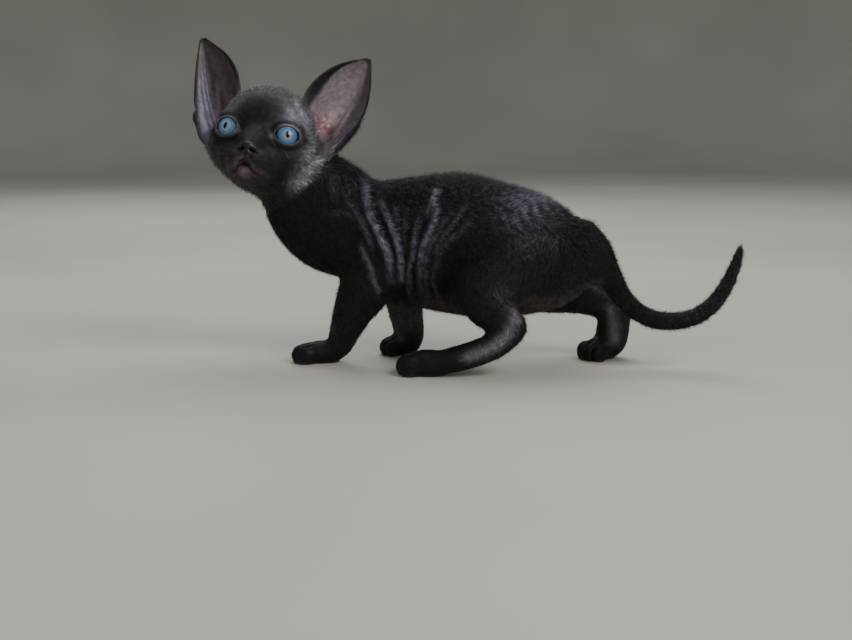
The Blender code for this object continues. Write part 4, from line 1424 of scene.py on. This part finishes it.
        # tone: random from tuft to tuft, plus painted sheen on the crests of the ripples, on the guard hairs
        # and on some whole locks
        tone = 1 + rng.uniform(-0.3, 0.35, count) * (1 + 0.6 * bright) + 0.2 * wave + 0.35 * (guard + lit)
        paint = np.ones((count, 4, 4))
        shade = np.array(self.tuft_shade)[None, :, None] * tone[:, None, None]
        paint[:, :, :3] = roots.colour[:, None, :] * shade
        store_colour(mesh, paint.reshape(-1, 4))
        flat = (body.unwrapped()[:, None, :] + np.array(self.tuft_patch)[None]).reshape(-1, 2)
        uv = mesh.uv_layers.new(name=BAKE_MAP)
        uv.data.foreach_set("uv", flat[faces.ravel()].astype(np.float32).ravel())
        mesh.materials.append(self.material)
        obj = bpy.data.objects.new(piece.name, mesh)
        bpy.context.scene.collection.objects.link(obj)
        return obj


@dataclass(frozen=True)
class Whiskers:
    """The breed's few short, crinkled whiskers on the muzzle and over the eyes, in the head's axes."""

    pad_rows: tuple = (-13.6, -15.2, -16.8)
    columns: int = 3
    brow: tuple = ((8.5, 8.8), (10.6, 9.4), (12.8, 9.0))
    brow_length: float = 5.5
    thickness: float = 0.045
    crinkle: float = 0.3
    droop: float = 0.14  # share of its length that a whisker's tip hangs down
    steps: int = 12
    seed: int = 31

    def roots(self, side: Side) -> list[tuple[np.ndarray, np.ndarray, float]]:
        """Place (sideways and up), direction and length of each whisker of one side."""
        found = []
        for row, up in enumerate(self.pad_rows):
            for column in range(self.columns):
                place = np.array(((5.2 + 1.5 * column) * side.value, up))
                way = side.of((0.55 - 0.2 * column, 0.85, 0.16 - 0.16 * row))
                found.append((place, way, 6.5 + 1.3 * column))
        for sideways, up in self.brow:
            place = np.array((sideways * side.value, up))
            found.append((place, side.of((0.6, 0.25, 0.75)), self.brow_length))
        return found

    def rings(self, root: np.ndarray, way: np.ndarray, length: float, rng: np.random.Generator) -> list:
        """The rings of points round one whisker.

        Args:
            root: where it starts.
            way: where it points.
            length: its length in millimetres.
            rng: random draws for its crinkle.

        Returns:
            One list of four points for each step along it.
        """
        shares = np.linspace(0, 1, self.steps)
        way = unit_rows(way)
        across = unit_rows(np.cross(way, (0.2, 0.1, 1)))
        above = np.cross(way, across)
        swing = self.crinkle * np.sin(shares * rng.uniform(12, 17) + rng.uniform(0, 6)) * shares
        sag = -self.droop * length * shares**2
        spine = root + np.outer(shares * length, way) + np.outer(swing, across) + np.outer(sag, (0, 0, 1))
        rings = []
        for middle, radius in zip(spine, self.thickness * (1 - 0.75 * shares)):
            ring = []
            for turn in np.arange(4) / 4 * math.tau:
                ring.append(Vector(middle + radius * (across * math.cos(turn) + above * math.sin(turn))))
            rings.append(ring)
        return rings

    def grow(self, skin: Surface) -> bpy.types.Object:
        """Sets the whiskers in the skin and joins them."""
        local = HEAD.local(skin.points)
        local[:, 1] -= HEAD.muzzle_turn(local)
        front = np.flatnonzero(local[:, 0] > 12)
        rng = np.random.default_rng(self.seed)
        bm = bmesh.new()
        for side in Side:
            for place, way, length in self.roots(side):
                nearest = front[np.linalg.norm(local[front, 1:] - place, axis=1).argmin()]
                root = HEAD.local(skin.points[nearest : nearest + 1])[0]
                bridge_rings(bm, self.rings(root, way, length, rng))
        bm.transform(HEAD.matrix() @ Matrix.Scale(MM, 4))
        obj = new_object("whiskers", bm)
        obj.data.shade_smooth()
        return obj


def triangle_mesh(name: str, points: np.ndarray, faces: np.ndarray) -> bpy.types.Mesh:
    """A mesh of the triangles, made in one step from arrays."""
    mesh = bpy.data.meshes.new(name)
    mesh.vertices.add(len(points))
    mesh.vertices.foreach_set("co", points.astype(np.float32).ravel())
    mesh.loops.add(len(faces) * 3)
    mesh.loops.foreach_set("vertex_index", faces.astype(np.int32).ravel())
    mesh.polygons.add(len(faces))
    mesh.polygons.foreach_set("loop_start", np.arange(len(faces), dtype=np.int32) * 3)
    mesh.update(calc_edges=True)
    mesh.shade_smooth()
    return mesh


def store_colour(mesh: bpy.types.Mesh, colours: np.ndarray) -> None:
    """Writes the marking of each point to the mesh."""
    layer = mesh.color_attributes.new(MARKING, "FLOAT_COLOR", "POINT")
    layer.data.foreach_set("color", colours.astype(np.float32).ravel())


class Wiring:
    """Adds nodes to a material or group and links them, in short calls."""

    def __init__(self, tree: bpy.types.NodeTree) -> None:
        """Starts on the tree."""
        self.tree = tree

    def feed(self, node: bpy.types.Node, inputs: dict) -> None:
        """Links or sets the node's inputs: sockets are linked, other values set."""
        for name, value in inputs.items():
            if isinstance(value, bpy.types.NodeSocket):
                self.tree.links.new(value, node.inputs[name])
            else:
                node.inputs[name].default_value = value

    def add(self, kind: str, inputs: dict, output: str | int = 0, **settings: object) -> bpy.types.NodeSocket:
        """Adds a node.

        Args:
            kind: the node's type, without "ShaderNode".
            inputs: sockets or values for its inputs, by name or number.
            output: which of its outputs is wanted.
            settings: what is set on the node itself.

        Returns:
            The wanted output.
        """
        node = self.tree.nodes.new("ShaderNode" + kind)
        for name, value in settings.items():
            setattr(node, name, value)
        self.feed(node, inputs)
        return node.outputs[output]

    def shades(self, value: bpy.types.NodeSocket, stops: tuple) -> bpy.types.NodeSocket:
        """Turns a value into a colour by stops, each a position and a colour."""
        colour = self.add("ValToRGB", {"Fac": value})
        elements = colour.node.color_ramp.elements
        elements.remove(elements[-1])
        elements[0].position, elements[0].color = stops[0][0], (*stops[0][1], 1)
        for position, paint in stops[1:]:
            elements.new(position).color = (*paint, 1)
        return colour


def new_material(name: str) -> tuple[bpy.types.Material, Wiring, bpy.types.Node]:
    """A material with nodes, its wiring and its surface."""
    material = bpy.data.materials.new(name)
    material.use_nodes = True
    return material, Wiring(material.node_tree), material.node_tree.nodes["Principled BSDF"]


def grain_group() -> bpy.types.NodeTree:
    """The fine unevenness of coat and skin: it varies a colour and gives a height for bumps."""
    group = bpy.data.node_groups.new("Coat grain", "ShaderNodeTree")
    for name, kind in (("Colour", "Color"), ("Scale", "Float"), ("Amount", "Float")):
        group.interface.new_socket(name, in_out="INPUT", socket_type="NodeSocket" + kind)
    for name, kind in (("Colour", "Color"), ("Height", "Float")):
        group.interface.new_socket(name, in_out="OUTPUT", socket_type="NodeSocket" + kind)
    wiring = Wiring(group)
    given = group.nodes.new("NodeGroupInput").outputs
    place = wiring.add("TexCoord", {}, "Object")
    noise = wiring.add("TexNoise", {"Vector": place, "Scale": given["Scale"], "Detail": 4}, "Fac")
    around = wiring.add("Math", {0: noise, 1: 0.5}, operation="SUBTRACT")
    level = wiring.add("Math", {0: around, 1: given["Amount"], 2: 1}, operation="MULTIPLY_ADD")
    tone = wiring.add("VectorMath", {0: given["Colour"], "Scale": level}, operation="SCALE")
    wiring.feed(group.nodes.new("NodeGroupOutput"), {"Colour": tone, "Height": noise})
    return group


@dataclass(frozen=True)
class HairyFinish:
    """Coat or skin: the shared markings with grain, sheen and, where it is bare, bumps."""

    name: str
    roughness: float
    sheen: float
    scale: float
    mottle: float
    specular: float
    bare: bool = False

    def material(self, grain: bpy.types.NodeTree) -> bpy.types.Material:
        """The finish as a material."""
        material, wiring, surface = new_material(self.name)
        marking = wiring.add("Attribute", {}, "Color", attribute_name=MARKING)
        detail = wiring.add("Group", {}, node_tree=grain).node
        wiring.feed(detail, {"Colour": marking, "Scale": self.scale, "Amount": self.mottle})
        settings = {
            "Base Color": detail.outputs["Colour"],
            "Roughness": self.roughness,
            "Sheen Weight": self.sheen,
            "Sheen Tint": (0.75, 0.82, 1, 1),
            "Sheen Roughness": 0.4,
            "Specular IOR Level": self.specular,
        }
        wiring.feed(surface, settings)
        if self.bare:
            gloss = wiring.add("Attribute", {}, "Fac", attribute_name=GLOSS)
            grainy = {"Strength": 0.5, "Distance": 0.0003, "Height": detail.outputs["Height"]}
            bump = wiring.add("Bump", grainy)
            wiring.feed(surface, {"Roughness": gloss, "Normal": bump})
        return material


@dataclass(frozen=True)
class EyeFinish:
    """A kitten's slate-blue iris with its upright pupil, fibres and dark outer ring, under a wet cornea."""

    pupil: tuple = (0.85, 1.7)
    rings: tuple = (
        (0.0, (0.1, 0.16, 0.21)),
        (0.24, (0.17, 0.25, 0.33)),
        (0.36, (0.085, 0.16, 0.245)),
        (0.48, (0.055, 0.125, 0.225)),
        (0.55, (0.022, 0.055, 0.115)),
        (0.6, (0.003, 0.006, 0.015)),
        (0.85, (0.02, 0.018, 0.02)),
    )
    streaks: tuple = ((0.3, (0.5, 0.55, 0.6)), (0.55, (0.95, 0.97, 1.0)), (0.72, (1.35, 1.35, 1.3)))
    fibres: float = 46  # how many there are round the iris
    contrast: float = 0.65

    def material(self) -> bpy.types.Material:
        """The finish as a material, drawn on the map that looks straight at the iris."""
        material, wiring, surface = new_material("Eye")
        place = wiring.add("UVMap", {}, uv_map=IRIS_MAP)
        middle, span = (-IRIS_SPAN / 2, -IRIS_SPAN / 2, 0), (IRIS_SPAN, IRIS_SPAN, 1)
        centred = wiring.add("Mapping", {"Vector": place, "Location": middle, "Scale": span})
        far = wiring.add("VectorMath", {0: centred}, "Value", operation="LENGTH")
        rings = wiring.shades(wiring.add("Math", {0: far, 1: Eye.radius}, operation="DIVIDE"), self.rings)
        angle = wiring.add("TexGradient", {"Vector": centred}, "Fac", gradient_type="RADIAL")
        turns = wiring.add("Math", {0: angle, 1: self.fibres}, operation="MULTIPLY")
        polar = wiring.add("CombineXYZ", {"X": turns, "Y": far})
        fibres = wiring.add("TexNoise", {"Vector": polar, "Scale": 0.9, "Detail": 3}, "Fac")
        streaks = wiring.shades(fibres, self.streaks)
        coloured = {"Factor": self.contrast, 6: rings, 7: streaks}
        iris = wiring.add("Mix", coloured, 2, data_type="RGBA", blend_type="MULTIPLY")
        narrow = (1 / self.pupil[0], 1 / self.pupil[1], 1)
        in_pupil = wiring.add("Mapping", {"Vector": centred, "Scale": narrow})
        reach = wiring.add("VectorMath", {0: in_pupil}, "Value", operation="LENGTH")
        edge = wiring.add("MapRange", {"Value": reach, "From Min": 0.85, "From Max": 1.12})
        eye = wiring.add("Mix", {"Factor": edge, 6: (0.001, 0.001, 0.0015, 1), 7: iris}, 2, data_type="RGBA")
        wiring.feed(surface, {"Base Color": eye, "Roughness": 0.4, "Specular IOR Level": 0.0})
        wiring.feed(surface, {"Coat Weight": 1, "Coat Roughness": 0.02, "Coat IOR": 1.42})
        return material


def plain_material(
    name: str, colour: tuple, roughness: float, coat: float = 0, scale: float = 900
) -> bpy.types.Material:
    """A material of one colour that noise keeps from being quite even.

    Args:
        name: the material's name.
        colour: its colour.
        roughness: its roughness.
        coat: how wet it looks.
        scale: how fine the noise is.

    Returns:
        The material.
    """
    material, wiring, surface = new_material(name)
    place = wiring.add("TexCoord", {}, "Object")
    noise = wiring.add("TexNoise", {"Vector": place, "Scale": scale}, "Fac")
    stops = tuple((at, tuple(part * level for part in colour)) for at, level in ((0.3, 0.92), (0.7, 1.08)))
    shaded = wiring.shades(noise, stops)
    wiring.feed(surface, {"Base Color": shaded, "Roughness": roughness, "Coat Weight": coat})
    return material


@dataclass(frozen=True)
class Lamp:
    """A soft light over the studio."""

    name: str
    place: tuple[float, float, float]
    size: float
    power: float
    shape: str = "SQUARE"
    mirrored: bool = True  # whether shiny surfaces show it

    def hang(self, target: Vector) -> None:
        """Puts the light in the scene, turned to the target."""
        lamp = bpy.data.lights.new(self.name, "AREA")
        lamp.shape = self.shape
        lamp.size = self.size
        lamp.energy = self.power
        obj = bpy.data.objects.new(self.name, lamp)
        obj.location = self.place
        obj.rotation_euler = (target - Vector(self.place)).to_track_quat("-Z", "Y").to_euler()
        obj.visible_glossy = self.mirrored
        bpy.context.scene.collection.objects.link(obj)


@dataclass(frozen=True)
class Studio:
    """The pale floor, soft lights and the camera at the photograph's angle."""

    reach: float = 2.0
    curve: float = 0.6
    height: float = 1.1
    target: tuple = (-0.02, 0, 0.07)
    lamps: tuple = (
        Lamp("Key", (0.8, -0.8, 0.95), 0.75, 13, shape="DISK"),
        Lamp("Fill", (-0.9, -0.75, 0.7), 0.9, 1, mirrored=False),
        Lamp("Front", (-0.1, -1.2, 0.3), 0.9, 6, mirrored=False),
        Lamp("Top", (0.1, 0.5, 1.2), 0.9, 9),
        Lamp("Back", (-0.3, 1.0, 0.8), 0.8, 4),
    )
    sky: tuple = (0.82, 0.86, 0.92, 1)
    sky_strength: float = 0.29
    sensor: float = 36  # millimetres
    focal_pixels: float = 1250  # the photograph's focal length
    camera_place: tuple = (-0.017812, -0.60328, 0.1224)
    camera_dip: float = 9.4475  # degrees that it looks down

    def build(self) -> None:
        """Builds floor, lights, world and camera."""
        self.floor()
        for lamp in self.lamps:
            lamp.hang(Vector(self.target))
        world = bpy.data.worlds.new("Studio")
        world.use_nodes = True
        background = world.node_tree.nodes["Background"]
        background.inputs["Color"].default_value = self.sky
        background.inputs["Strength"].default_value = self.sky_strength
        bpy.context.scene.world = world
        self.camera()

    def floor(self) -> None:
        """A plain pale floor that curves up into a wall all round."""
        outline = [(0, 0)]
        for angle in np.linspace(0, math.pi / 2, 13):
            outline.append((self.reach + self.curve * math.sin(angle), self.curve * (1 - math.cos(angle))))
        outline.append((self.reach + self.curve, self.height))
        bm = bmesh.new()
        corners = [bm.verts.new((x, 0, z)) for x, z in outline]
        profile = [bm.edges.new(pair) for pair in zip(corners, corners[1:])]
        turn = {"cent": (0, 0, 0), "axis": (0, 0, 1), "angle": math.tau, "steps": 96, "use_merge": True}
        bmesh.ops.spin(bm, geom=corners + profile, **turn)
        bmesh.ops.remove_doubles(bm, verts=bm.verts, dist=0.0001)
        obj = new_object("studio_floor", bm)
        obj.data.shade_smooth()
        obj.data.materials.append(plain_material("Studio floor", (0.42, 0.4, 0.35), 0.75, scale=3))

    def camera(self) -> None:
        """The camera, from the near side of the kitten and a little above it."""
        lens = bpy.data.cameras.new("Camera")
        lens.sensor_fit = "HORIZONTAL"
        lens.sensor_width = self.sensor
        lens.lens = self.sensor * self.focal_pixels / IMAGE_SIZE[0]
        lens.clip_start = 0.01
        obj = bpy.data.objects.new("Camera", lens)
        obj.location = self.camera_place
        obj.rotation_euler = (math.radians(90 - self.camera_dip), 0, 0)
        bpy.context.scene.collection.objects.link(obj)
        bpy.context.scene.camera = obj


def place_piece(obj: bpy.types.Object, slot: str, *nodes: str) -> None:
    """Fixes a piece to the cat and hides the solids it stands for."""
    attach(obj, "root")
    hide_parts(*nodes)
    LOG.info("%s: %d faces", obj.name, len(obj.data.polygons))


def main() -> None:
    """Builds the kitten and the studio round it."""
    logging.basicConfig(level=logging.INFO, format="%(message)s")
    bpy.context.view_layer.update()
    Studio().build()
    grain = grain_group()
    skin_finish = HairyFinish("Skin", 0.5, sheen=0.02, scale=420, mottle=1.2, specular=0.3, bare=True)
    coat_finish = HairyFinish("Coat", 0.45, sheen=0.03, scale=330, mottle=3.2, specular=0.25)
    skin_material, coat_material = skin_finish.material(grain), coat_finish.material(grain)
    rim_material = plain_material("Lid rim", (0.008, 0.007, 0.008), 0.3, coat=0.3)
    eye_material = EyeFinish().material()
    skin = Skin()
    skin.dress(skin_material)
    place_piece(skin.obj, "coat", *skin.flesh, "ear_left", "ear_right")
    for eye in EYES:
        globe = eye.globe(f"eyeball_{eye.side.word}")
        globe.data.materials.append(eye_material)
        place_piece(globe, "eye", eye.name)
        rim = eye.rim()
        rim.data.materials.append(rim_material)
        place_piece(rim, "ear_skin", eye.name)
    whiskers = Whiskers().grow(skin.surface)
    whiskers.data.materials.append(plain_material("Whisker", (0.02, 0.02, 0.022), 0.6))
    place_piece(whiskers, "coat", "head")
    coat = Coat(skin, coat_material)
    for piece in COAT_PIECES:
        place_piece(coat.grow(piece), "coat", *piece.nodes)


if __name__ == "__main__":
    main()
